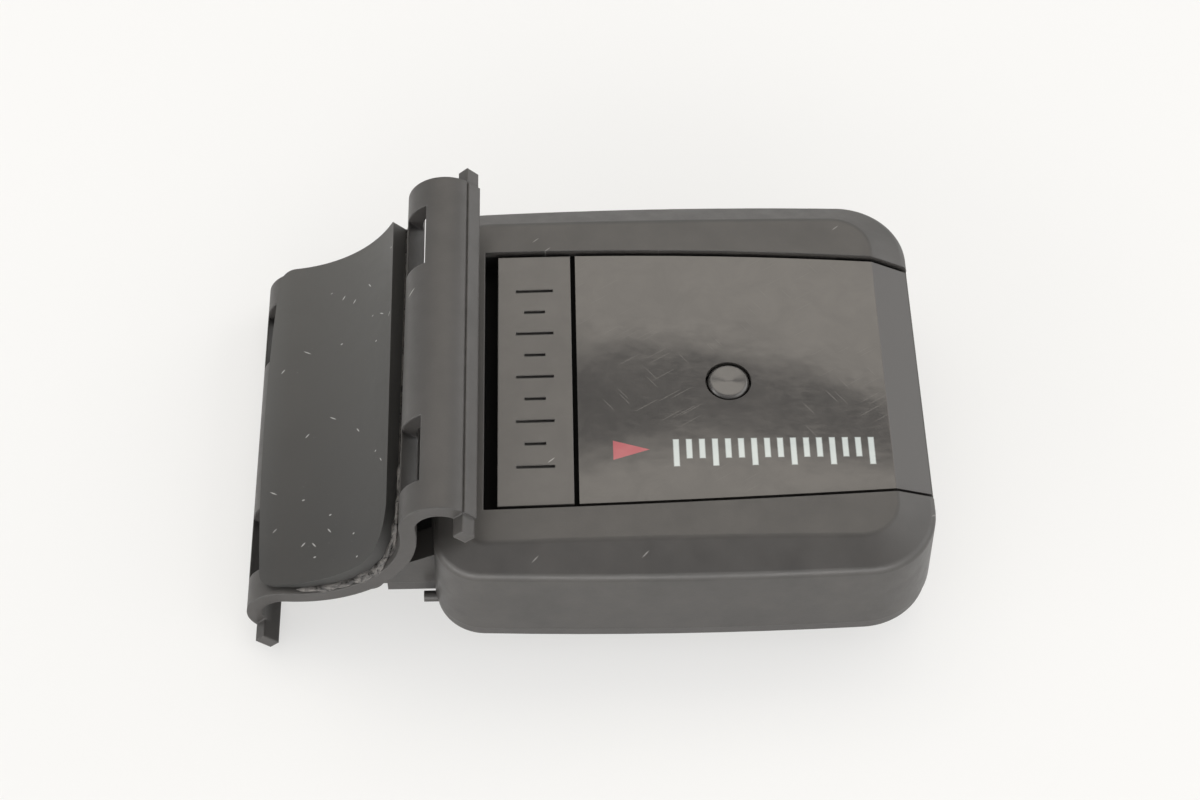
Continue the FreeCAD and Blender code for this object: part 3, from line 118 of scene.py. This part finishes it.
def position(owner, space="Object"):
    """The X, Y and Z of the point on a piece, or of the direction in the sky."""
    coords = add(owner, "ShaderNodeTexCoord")
    parts = add(owner, "ShaderNodeSeparateXYZ")
    link(owner, coords.outputs[space], parts.inputs["Vector"])
    return parts.outputs["X"], parts.outputs["Y"], parts.outputs["Z"]


def place(material, stretch=(1, 1, 1), turn=(0, 0, 0)):
    """Object coordinates in millimetres, so that texture scales read as cells per millimetre."""
    coords = add(material, "ShaderNodeTexCoord")
    mapping = add(material, "ShaderNodeMapping")
    mapping.inputs["Scale"].default_value = [k / MM for k in stretch]
    mapping.inputs["Rotation"].default_value = turn
    link(material, coords.outputs["Object"], mapping.inputs["Vector"])
    return mapping.outputs["Vector"]


def noise(material, where, scale, detail=2.0, roughness=0.5, distortion=0.0):
    node = add(material, "ShaderNodeTexNoise", Scale=scale, Detail=detail, Roughness=roughness,
               Distortion=distortion)
    link(material, where, node.inputs["Vector"])
    return node.outputs["Fac"]


def band(material, source, low, high, to_low=0.0, to_high=1.0):
    """Maps a value from one range to another and holds it at the ends."""
    node = add(material, "ShaderNodeMapRange")
    node.clamp = True
    for socket, number in (("From Min", low), ("From Max", high), ("To Min", to_low), ("To Max", to_high)):
        node.inputs[socket].default_value = number
    link(material, source, node.inputs["Value"])
    return node.outputs["Result"]


def maths(owner, operation, first, second=0.0):
    """One sum on two items, each a number or another node's output."""
    node = add(owner, "ShaderNodeMath")
    node.operation = operation
    for socket, item in zip(node.inputs, (first, second)):
        if isinstance(item, (int, float)):
            socket.default_value = item
        else:
            link(owner, item, socket)
    return node.outputs["Value"]


def product(owner, first, *others):
    for other in others:
        first = maths(owner, "MULTIPLY", first, other)
    return first


def mix(owner, share, first, second):
    """Blends two colours, each a tuple or another node's output."""
    node = add(owner, "ShaderNodeMix")
    node.data_type = "RGBA"
    link(owner, share, node.inputs["Factor"])
    first_colour, second_colour = node.inputs[6], node.inputs[7]
    for socket, item in ((first_colour, first), (second_colour, second)):
        if isinstance(item, tuple):
            socket.default_value = (*item, 1)
        else:
            link(owner, item, socket)
    return node.outputs[2]


def bump(material, height, strength, depth, below=None):
    node = add(material, "ShaderNodeBump", Strength=strength, Distance=depth)
    link(material, height, node.inputs["Height"])
    if below is not None:
        link(material, below, node.inputs["Normal"])
    return node.outputs["Normal"]


def finish_material(material, tone, sheen, normal):
    shader = shader_of(material)
    link(material, tone, shader.inputs["Base Color"])
    link(material, sheen, shader.inputs["Roughness"])
    link(material, normal, shader.inputs["Normal"])
    return material


def edge_wear_and_highlight(material, radius):
    """Near 1 on sharp edges, where the rounded normal leaves the true one; also gives the rounded normal."""
    rounded = add(material, "ShaderNodeBevel", Radius=radius)
    rounded.samples = 6
    true = add(material, "ShaderNodeNewGeometry")
    dot = add(material, "ShaderNodeVectorMath")
    dot.operation = "DOT_PRODUCT"
    link(material, rounded.outputs["Normal"], dot.inputs[0])
    link(material, true.outputs["Normal"], dot.inputs[1])
    return band(material, dot.outputs["Value"], 0.995, 0.86), rounded.outputs["Normal"]


def lint(material, turn, length, width, spacing, share, tilt=0.0):
    """Sparse pale dashes lying on a surface whose slope about Y is tilt: 1 on a dash, 0 elsewhere."""
    along = add(material, "ShaderNodeMapping")
    along.vector_type = "TEXTURE"
    along.inputs["Rotation"].default_value = (0, 0, turn)
    along.inputs["Scale"].default_value = (length, width, 1)
    link(material, place(material, turn=(0, tilt, 0)), along.inputs["Vector"])
    density = math.sqrt(length * width) / spacing
    cells = add(material, "ShaderNodeTexVoronoi", Scale=density)
    cells.voronoi_dimensions = "2D"
    link(material, along.outputs["Vector"], cells.inputs["Vector"])
    reach = 0.5 * density
    near = band(material, cells.outputs["Distance"], reach, reach * 0.5)
    pick = add(material, "ShaderNodeSeparateColor")
    link(material, cells.outputs["Color"], pick.inputs["Color"])
    chosen = band(material, pick.outputs["Red"], 1 - share, 1.01 - share)
    return product(material, near, chosen)


def recess_shade_mask(material):
    """1 down in the panel's recess and its grooves, where little light comes: the mask for the painted shade
    there.
    """
    x, y, z = position(material)
    end = maths(material, "SUBTRACT", END_HEIGHT * MM, maths(material, "MULTIPLY", x, END_FALL))
    top = maths(material, "MINIMUM", end, TOP_HEIGHT * MM)
    start, full = SHADE_DEPTHS
    soft = RECESS_SOFT_EDGE
    below_top = band(material, maths(material, "SUBTRACT", top, z), start * MM, full * MM)
    above_floor = band(material, z, RECESS_FLOOR * MM, (RECESS_FLOOR + soft) * MM)
    aside = maths(material, "ABSOLUTE", y)
    between = band(material, aside, RECESS_HALF_WIDTH * MM, (RECESS_HALF_WIDTH - soft) * MM)
    right_of = band(material, x, RECESS_LEFT * MM, (RECESS_LEFT + soft) * MM)
    left_of = band(material, x, RECESS_RIGHT * MM, (RECESS_RIGHT - soft) * MM)
    return product(material, below_top, above_floor, between, right_of, left_of)


def paint_recess_shade(material, tone, sheen):
    """Paints shade into the recess: black and dull, so that its grooves show as dark lines."""
    deep = recess_shade_mask(material)
    shine = band(material, deep, 0.0, 1.0, 0.5, 0.1)
    link(material, shine, shader_of(material).inputs["Specular IOR Level"])
    return mix(material, deep, tone, (0.009, 0.0088, 0.0085)), maths(material, "MAXIMUM", sheen, deep)


def print_mask(material, boxes):
    """Near 1 inside any of the boxes (left, right, low, high) in millimetres, seen from above."""
    x, y, _ = position(material)
    soft = TICK_SOFT_EDGE * MM
    total = 0.0
    for left, right, low, high in boxes:
        sides = []
        for axis, first, last in ((x, left * MM, right * MM), (y, low * MM, high * MM)):
            centre, half = (first + last) / 2, (last - first) / 2
            away = maths(material, "ABSOLUTE", maths(material, "SUBTRACT", axis, centre))
            sides.append(band(material, away, half + soft, half - soft))
        total = maths(material, "MAXIMUM", maths(material, "MINIMUM", *sides), total)
    return total


def tick_boxes():
    boxes = []
    for index in range(TICK_COUNT):
        left = TICK_START + TICK_PITCH * index
        foot = SHORT_TICK_FOOT if index % LONG_TICK_EVERY else LONG_TICK_FOOT
        boxes.append((left, left + TICK_WIDTH, foot, TICK_HEAD))
    return boxes


def pointer_mask(material):
    """1 inside a printed triangle that points along X."""
    x, y, _ = position(material)
    soft = POINTER_SOFT_EDGE * MM
    away = maths(material, "ABSOLUTE", maths(material, "SUBTRACT", y, POINTER_MIDDLE * MM))
    to_tip = maths(material, "SUBTRACT", POINTER_TIP * MM, x)
    room = maths(material, "MULTIPLY", to_tip, POINTER_HALF_WIDTH / (POINTER_TIP - POINTER_BASE))
    inside = band(material, maths(material, "SUBTRACT", room, away), -soft, soft)
    right_of = band(material, x, POINTER_BASE * MM - soft, POINTER_BASE * MM + soft)
    return product(material, inside, right_of)


# Materials. Tones drift between a dark and a light shade, and each surface has its own fine relief.

def moulded_plastic(name, dark, light, rough, grain=5.0, grain_depth=0.012, wear_and_highlight=0.35, dust=0.25,
                    rounding=0.12, painted_recess_shade=False):
    """Moulded plastic: fine spark-eroded grain, cloudy tone, edges lightened as rubbed wear and as a painted
    highlight, a little dust and lint, and painted shade in the recess where asked.
    """
    material = new_material(name)
    shader_of(material).inputs["IOR"].default_value = 1.53
    where = place(material)
    cloud = noise(material, where, scale=0.22, detail=4.0, roughness=0.6)
    tone = mix(material, band(material, cloud, 0.3, 0.7), dark, light)
    worn_and_lit, rounded = edge_wear_and_highlight(material, rounding * MM)
    patchy = band(material, noise(material, where, scale=1.1, detail=3.0), 0.35, 0.65)
    # Sharp edges lightened in patches: rubbed wear, and a painted highlight along them.
    rubbed_and_highlight = tuple(min(1.0, shade * 1.9 + 0.02) for shade in light)
    tone = mix(material, product(material, worn_and_lit, patchy, wear_and_highlight), tone, rubbed_and_highlight)
    fluff = lint(material, turn=0.7, length=0.9, width=0.14, spacing=2.9, share=0.05)
    tone = mix(material, product(material, fluff, dust), tone, (0.5, 0.49, 0.47))
    grit = noise(material, where, scale=7.0, detail=2.0, roughness=0.6)
    tone = mix(material, band(material, grit, 0.3, 0.7, 0.0, 0.16), tone, dark)
    haze = noise(material, where, scale=0.6, detail=5.0, roughness=0.65)
    sheen = band(material, haze, 0.3, 0.7, rough - 0.05, rough + 0.06)
    # Painted shade: the recess and its grooves are darkened to near black in the colour.
    if painted_recess_shade:
        tone, sheen = paint_recess_shade(material, tone, sheen)
    fine = noise(material, where, scale=grain, detail=3.0, roughness=0.55)
    normal = bump(material, fine, strength=0.5, depth=grain_depth * MM, below=rounded)
    return finish_material(material, tone, sheen, normal)


def gloss_panel_material():
    """Dark glossy moulding with smears, hair scratches, a plain printed scale, a matt sloping end and painted
    shade in its recess.
    """
    material = new_material("panel_gloss")
    shader_of(material).inputs["IOR"].default_value = 1.5
    where = place(material)
    cloud = noise(material, where, scale=0.3, detail=5.0, roughness=0.62, distortion=0.6)
    tone = mix(material, band(material, cloud, 0.35, 0.65), (0.050, 0.047, 0.044), (0.062, 0.058, 0.054))
    scratch = lint(material, turn=0.55, length=2.6, width=0.05, spacing=2.2, share=0.3)
    hair = lint(material, turn=-0.9, length=1.8, width=0.07, spacing=2.4, share=0.2)
    marks = maths(material, "MAXIMUM", scratch, hair)
    tone = mix(material, product(material, marks, 0.05), tone, (0.42, 0.41, 0.39))
    tone = mix(material, print_mask(material, tick_boxes()), tone, (0.46, 0.50, 0.49))
    tone = mix(material, pointer_mask(material), tone, (0.36, 0.09, 0.10))
    wiped = place(material, stretch=(1.0, 2.4, 1.0), turn=(0, 0, 0.6))
    smear = noise(material, wiped, scale=0.55, detail=6.0, roughness=0.7, distortion=1.2)
    sheen = band(material, smear, 0.35, 0.75, 0.03, 0.10)
    end = band(material, position(material)[0], END_FADE[0] * MM, END_FADE[1] * MM)
    tone = mix(material, end, tone, (0.050, 0.047, 0.045))
    sheen = maths(material, "MAXIMUM", sheen, product(material, end, 0.36))
    # Painted shade down in the recess and its grooves.
    tone, sheen = paint_recess_shade(material, tone, sheen)
    ripple = noise(material, where, scale=0.35)
    swell = bump(material, ripple, strength=0.25, depth=0.02 * MM)
    normal = bump(material, marks, strength=0.2, depth=0.004 * MM, below=swell)
    return finish_material(material, tone, sheen, normal)


def pad_lint(material):
    """Four sorts of fluff on the pad's slope, each with its own direction and size."""
    slope = math.radians(SADDLE_TILT)
    sorts = (
        dict(turn=0.9, length=0.6, width=0.16, spacing=2.3),
        dict(turn=-0.6, length=0.9, width=0.13, spacing=2.6),
        dict(turn=2.2, length=0.7, width=0.15, spacing=2.8),
        dict(turn=0.2, length=0.3, width=0.2, spacing=1.7),
    )
    flecks = 0.0
    for sort in sorts:
        flecks = maths(material, "MAXIMUM", lint(material, share=0.05, tilt=slope, **sort), flecks)
    return flecks


def rubber_material():
    """Smooth matt rubber, slightly mottled, lighter towards its far end, with dust and pale lint on it."""
    material = new_material("pad_rubber")
    where = place(material)
    cloud = noise(material, where, scale=0.16, detail=5.0, roughness=0.6, distortion=0.5)
    tone = mix(material, band(material, cloud, 0.35, 0.68), (0.0235, 0.0235, 0.0225), (0.0325, 0.032, 0.0305))
    flecks = pad_lint(material)
    # Lighter towards the far end, along +Y.
    haze = band(material, position(material)[1], -15 * MM, 17 * MM)
    tone = mix(material, haze, tone, (0.060, 0.059, 0.056))
    dust = band(material, noise(material, where, scale=2.6, detail=4.0, roughness=0.8), 0.66, 0.78)
    tone = mix(material, product(material, dust, 0.18), tone, (0.4, 0.4, 0.39))
    tone = mix(material, product(material, flecks, 0.55), tone, (0.5, 0.5, 0.49))
    sheen = band(material, cloud, 0.3, 0.7, 0.52, 0.66)
    swell = bump(material, noise(material, where, scale=0.35), strength=0.3, depth=0.06 * MM)
    fine = noise(material, where, scale=3.2, detail=4.0, roughness=0.6)
    normal = bump(material, fine, strength=0.35, depth=0.012 * MM, below=swell)
    return finish_material(material, tone, sheen, normal)


def adhesive_material():
    """Dark squeezed-out adhesive, wet in places and crusted in others."""
    material = new_material("adhesive_film")
    cloud = noise(material, place(material), scale=0.9, detail=6.0, roughness=0.7, distortion=1.0)
    tone = mix(material, band(material, cloud, 0.4, 0.62), (0.018, 0.017, 0.016), (0.16, 0.15, 0.14))
    sheen = band(material, cloud, 0.35, 0.6, 0.16, 0.7)
    normal = bump(material, cloud, strength=0.9, depth=0.25 * MM)
    return finish_material(material, tone, sheen, normal)


def metal(name, tone, rough, streak):
    """Plain metal with drawn streaks and slight tarnish."""
    material = new_material(name)
    shader_of(material).inputs["Metallic"].default_value = 1.0
    lines = noise(material, place(material, streak), scale=1.6, detail=5.0, roughness=0.65)
    stain = noise(material, place(material), scale=0.5, detail=4.0, roughness=0.6)
    dull = tuple(shade * 0.72 for shade in tone)
    tarnished = mix(material, band(material, stain, 0.35, 0.7), tone, dull)
    sheen = band(material, lines, 0.3, 0.7, rough, rough + 0.16)
    normal = bump(material, lines, strength=0.3, depth=0.01 * MM)
    return finish_material(material, tarnished, sheen, normal)


def board_material():
    """Solder-masked laminate with faint tracks under the mask."""
    material = new_material("board_laminate")
    cells = add(material, "ShaderNodeTexVoronoi", Scale=0.8)
    cells.distance = "MANHATTAN"
    link(material, place(material), cells.inputs["Vector"])
    tracks = band(material, cells.outputs["Distance"], 0.42, 0.5)
    tone = mix(material, tracks, (0.012, 0.085, 0.035), (0.03, 0.15, 0.06))
    sheen = band(material, noise(material, place(material), scale=2.0), 0.3, 0.7, 0.25, 0.4)
    normal = bump(material, tracks, strength=0.4, depth=0.02 * MM)
    return finish_material(material, tone, sheen, normal)


def glass_material():
    """Clear glass with a faint green tint that drifts."""
    material = new_material("reed_glass")
    shader = shader_of(material)
    shader.inputs["Transmission Weight"].default_value = 0.85
    shader.inputs["IOR"].default_value = 1.47
    where = place(material)
    drift = band(material, noise(material, where, scale=0.8), 0.3, 0.7)
    link(material, mix(material, drift, (0.62, 0.82, 0.7), (0.78, 0.9, 0.82)), shader.inputs["Base Color"])
    sheen = band(material, noise(material, where, scale=1.5), 0.3, 0.7, 0.03, 0.1)
    link(material, sheen, shader.inputs["Roughness"])
    return material


def dress_cad_nodes():
    shell = moulded_plastic("shell_plastic", dark=(0.034, 0.032, 0.030), light=(0.046, 0.043, 0.040),
                            rough=0.42, wear_and_highlight=0.2, painted_recess_shade=True)
    plate = moulded_plastic("plate_plastic", dark=(0.038, 0.036, 0.034), light=(0.050, 0.047, 0.045),
                            rough=0.44)
    strip = moulded_plastic("strip_plastic", dark=(0.050, 0.047, 0.044), light=(0.064, 0.060, 0.056),
                            rough=0.20, grain=2.4, grain_depth=0.006, wear_and_highlight=0.2, dust=0.5, painted_recess_shade=True)
    button = moulded_plastic("button_plastic", dark=(0.05, 0.048, 0.046), light=(0.064, 0.061, 0.058),
                             rough=0.10, grain=3.0, grain_depth=0.004, wear_and_highlight=0.2, rounding=0.2)
    bracket = moulded_plastic("bracket_plastic", dark=(0.033, 0.031, 0.029), light=(0.044, 0.041, 0.039),
                              rough=0.46, dust=0.6, rounding=0.25)
    seal = moulded_plastic("seal_rubber", dark=(0.012, 0.012, 0.012), light=(0.022, 0.022, 0.022),
                           rough=0.6, dust=0.1)
    washer = moulded_plastic("washer_plastic", dark=(0.5, 0.5, 0.46), light=(0.6, 0.6, 0.56),
                             rough=0.35, dust=0.1)
    chip = moulded_plastic("chip_plastic", dark=(0.016, 0.016, 0.018), light=(0.028, 0.028, 0.03),
                           rough=0.45, dust=0.1)
    capacitor = moulded_plastic("capacitor_body", dark=(0.3, 0.2, 0.11), light=(0.4, 0.27, 0.16),
                                rough=0.35, dust=0.1)
    steel = metal("steel", tone=(0.56, 0.56, 0.55), rough=0.22, streak=(4, 4, 0.4))
    cell = metal("cell_metal", tone=(0.64, 0.62, 0.59), rough=0.24, streak=(3, 0.3, 3))
    antenna = metal("antenna_metal", tone=(0.66, 0.48, 0.22), rough=0.24, streak=(0.4, 4, 4))
    chosen = {
        "housing_shell": shell, "base_plate": plate, "battery_cover": plate, "label_strip": strip,
        "button_cap": button, "switch_plunger": button, "fork_bracket": bracket,
        "case_gasket": seal, "button_seal": seal, "battery_cover_seal": seal,
        "friction_washers": washer, "radio_chip": chip, "tact_switch": chip, "chip_capacitors": capacitor,
        "hinge_pin": steel, "case_screws": steel, "timing_crystal": steel, "reed_leads": steel,
        "side_contact": steel, "top_contact": steel, "coin_cell": cell, "antenna_strip": antenna,
        "gloss_panel": gloss_panel_material(), "rubber_pad": rubber_material(),
        "pad_adhesive": adhesive_material(), "circuit_board": board_material(),
        "reed_switch": glass_material(),
    }
    for name, material in chosen.items():
        mesh = nodes[name].data
        mesh.materials.clear()
        mesh.materials.append(material)


# The adhesive squeezed out at the pad's near corner

def saddle_point(across, along, proud):
    """A point this far above the bracket's saddle, from millimetres across it and along it."""
    tilt = math.radians(SADDLE_TILT)
    up = SADDLE_CENTRE - math.sqrt(SADDLE_RADIUS ** 2 - across ** 2) + proud
    x = SADDLE_X + across * math.cos(tilt) - up * math.sin(tilt)
    z = SADDLE_Z + across * math.sin(tilt) + up * math.cos(tilt)
    return Vector((x, along, z)) * MM


def bead_route():
    """Places on the saddle, round the pad's rounded corner and along its end, as (across, along)."""
    steps = 10
    stride = (BEAD_CORNER - BEAD_START) / steps
    route = [(BEAD_ACROSS, BEAD_START + stride * step) for step in range(steps)]
    for angle in range(0, 91, 5):
        swing = math.radians(angle)
        reach = (BEAD_END - BEAD_CORNER) * math.sin(swing)
        route.append((BEAD_ACROSS * math.cos(swing), BEAD_CORNER + reach))
    route += [(-BEAD_END_STEP * step, BEAD_END) for step in range(1, 18)]
    return route


def bead_thickness(step, share):
    """Half the bead's thickness in millimetres: lumpy, thickest halfway and thin at both ends."""
    lump = 0.5 + 0.28 * math.sin(step * 1.3) + 0.22 * math.sin(step * 0.47 + 1.0)
    swell = math.sin(math.pi * min(1.0, 0.04 + share * 0.96)) ** 0.35
    return (0.22 + 0.36 * lump) * swell


def bead_ring(bm, route, step, sides=12):
    """One ring of the bead, square to its run: wider than high, with a rough outline."""
    across, along = route[step]
    thick = bead_thickness(step, step / (len(route) - 1))
    before, after = route[max(0, step - 1)], route[min(len(route) - 1, step + 1)]
    run = Vector((after[0] - before[0], after[1] - before[1])).normalized()
    ring = []
    for side in range(sides):
        turn = 2 * math.pi * side / sides
        rough = 1 + 0.16 * math.sin(3 * turn + step * 0.9) + 0.1 * math.sin(5 * turn - step * 1.7)
        out = 1.25 * thick * rough * math.cos(turn)
        high = 0.12 + 0.8 * thick * rough * math.sin(turn)
        ring.append(bm.verts.new(saddle_point(across + out * -run.y, along + out * run.x, high)))
    return ring


def join_rings(bm, rings):
    for first, second in zip(rings, rings[1:]):
        for side in range(len(first)):
            other = (side + 1) % len(first)
            bm.faces.new((first[side], first[other], second[other], second[side]))
    bm.faces.new(rings[0])
    bm.faces.new(reversed(rings[-1]))
    bmesh.ops.recalc_face_normals(bm, faces=bm.faces)


def new_object(name, bm):
    """Turns finished mesh work into an object in the scene."""
    mesh = bpy.data.meshes.new(name)
    bm.to_mesh(mesh)
    bm.free()
    item = bpy.data.objects.new(name, mesh)
    bpy.context.scene.collection.objects.link(item)
    return item


def add_adhesive_bead():
    """Lumpy adhesive squeezed out round the pad's near corner, which moves with the bracket."""
    route = bead_route()
    bm = bmesh.new()
    join_rings(bm, [bead_ring(bm, route, step) for step in range(len(route))])
    bead = new_object("adhesive_bead", bm)
    for polygon in bead.data.polygons:
        polygon.use_smooth = True
    smoother = bead.modifiers.new("smoother", "SUBSURF")
    smoother.levels = 1
    smoother.render_levels = 1
    bead.data.materials.append(adhesive_material())
    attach(bead, "bracket")


dress_cad_nodes()
add_adhesive_bead()


# Surroundings

# The sky's colours. OPEN is the side away from the camera and DIM the camera's side, PALE is the band round
# the horizon, FRONT is that band on the camera's side, and SIDE lights the right.
OPEN = (1.06, 1.04, 1.0)
DIM = (0.24, 0.25, 0.27)
SOFTBOX = (3.05, 2.86, 2.60)
BEAM = (0.44, 0.45, 0.47)
PALE = (1.0, 0.99, 0.97)
FRONT = (4.9, 4.82, 4.74)
SIDE = (2.3, 2.28, 2.25)

# Where each light fades in, as the two values between which one part of the unit direction runs.
OPEN_Y = (-0.25, 0.3)
SOFTBOX_LOW_Z = (0.66, 0.74)
SOFTBOX_HIGH_Z = (0.95, 0.90)
SOFTBOX_Y = (0.22, 0.34)
SOFTBOX_X = (0.62, 0.45)
SIDE_X = (0.5, 0.68)
SIDE_Z = (0.78, 0.7)
FRONT_Y = (0.1, -0.3)
HORIZON_SIDE_X = (0.5, 0.7)
HORIZON_Z = (0.55, 0.36)

# The dark beam across the softbox: its height, half its thickness, its slope and taper along X, its edges.
BEAM_HEIGHT = 0.828
BEAM_HALF = 0.013
BEAM_SLOPE = 0.04
BEAM_TAPER = 0.03
BEAM_EDGES = (1.4, 0.6)
BEAM_Y = (0.25, 0.35)

# How much of the table's look to the camera is plain white, and the square's half size in metres.
FLOOR_WHITE = 0.62
FLOOR_REACH = 3.0

# The camera, in millimetres.
CAMERA_PLACE = (-9.94, -116.67, 182.29)
CAMERA_TARGET = (-7.45, -2.82, 14.09)
CAMERA_LENS = 68.25
CAMERA_SENSOR = 36.0


def show_white(material, shader):
    """To the camera and in reflections the table is mostly plain white, so shadows on it are pale."""
    path = add(material, "ShaderNodeLightPath")
    seen = maths(material, "MAXIMUM", path.outputs["Is Camera Ray"], path.outputs["Is Glossy Ray"])
    glow = add(material, "ShaderNodeEmission", Color=(0.92, 0.915, 0.90, 1))
    blend = add(material, "ShaderNodeMixShader")
    link(material, product(material, seen, FLOOR_WHITE), blend.inputs["Fac"])
    link(material, shader.outputs["BSDF"], blend.inputs[1])
    link(material, glow.outputs["Emission"], blend.inputs[2])
    link(material, blend.outputs["Shader"], material.node_tree.nodes["Material Output"].inputs["Surface"])


def add_floor():
    bm = bmesh.new()
    bmesh.ops.create_grid(bm, x_segments=1, y_segments=1, size=FLOOR_REACH)
    floor = new_object("floor", bm)
    material = new_material("pale_table")
    shader = shader_of(material)
    paper = noise(material, place(material), scale=0.02, detail=3.0)
    tone = mix(material, paper, (0.77, 0.768, 0.76), (0.79, 0.787, 0.78))
    link(material, tone, shader.inputs["Base Color"])
    shader.inputs["Roughness"].default_value = 0.6
    shader.inputs["Specular IOR Level"].default_value = 0.15
    show_white(material, shader)
    floor.data.materials.append(material)


def smooth(world, source, low, high):
    """Runs softly from 0 at low to 1 at high."""
    node = add(world, "ShaderNodeMapRange")
    node.interpolation_type = "SMOOTHSTEP"
    node.inputs["From Min"].default_value = low
    node.inputs["From Max"].default_value = high
    link(world, source, node.inputs["Value"])
    return node.outputs["Result"]


def beam_mask(world, x, y, z):
    """1 on the dark beam, a thin tapered line high on the far side."""
    rise = maths(world, "ADD", z, maths(world, "MULTIPLY", x, BEAM_SLOPE))
    away = maths(world, "ABSOLUTE", maths(world, "SUBTRACT", rise, BEAM_HEIGHT))
    half = maths(world, "SUBTRACT", BEAM_HALF, maths(world, "MULTIPLY", x, BEAM_TAPER))
    across = maths(world, "DIVIDE", away, half)
    return product(world, smooth(world, across, *BEAM_EDGES), smooth(world, y, *BEAM_Y))


def add_sky():
    """Soft studio light: a large warm softbox high on the far side with a dark beam across it, a dim patch
    high on the camera's side, a lit right side, and a pale band round the horizon that is bright in front."""
    world = bpy.data.worlds.new("studio")
    bpy.context.scene.world = world
    world.use_nodes = True
    x, y, z = position(world, "Generated")
    colour = mix(world, smooth(world, y, *OPEN_Y), DIM, OPEN)
    height = product(world, smooth(world, z, *SOFTBOX_LOW_Z), smooth(world, z, *SOFTBOX_HIGH_Z))
    width = smooth(world, maths(world, "ABSOLUTE", x), *SOFTBOX_X)
    box = product(world, height, smooth(world, y, *SOFTBOX_Y), width)
    colour = mix(world, box, colour, SOFTBOX)
    colour = mix(world, beam_mask(world, x, y, z), colour, BEAM)
    lit = product(world, smooth(world, x, *SIDE_X), smooth(world, z, *SIDE_Z))
    colour = mix(world, lit, colour, SIDE)
    horizon = mix(world, smooth(world, y, *FRONT_Y), PALE, FRONT)
    horizon = mix(world, smooth(world, x, *HORIZON_SIDE_X), horizon, SIDE)
    colour = mix(world, smooth(world, z, *HORIZON_Z), colour, horizon)
    link(world, colour, world.node_tree.nodes["Background"].inputs["Color"])


def add_camera():
    data = bpy.data.cameras.new("camera")
    data.sensor_width = CAMERA_SENSOR
    data.lens = CAMERA_LENS
    data.clip_start = 0.01
    data.clip_end = 10.0
    camera = bpy.data.objects.new("camera", data)
    bpy.context.scene.collection.objects.link(camera)
    camera.location = Vector(CAMERA_PLACE) * MM
    line_of_sight = Vector(CAMERA_TARGET) * MM - camera.location
    camera.rotation_mode = "QUATERNION"
    camera.rotation_quaternion = line_of_sight.to_track_quat("-Z", "Y")
    bpy.context.scene.camera = camera


add_floor()
add_sky()
add_camera()
bpy.context.scene.view_settings.view_transform = "Standard"
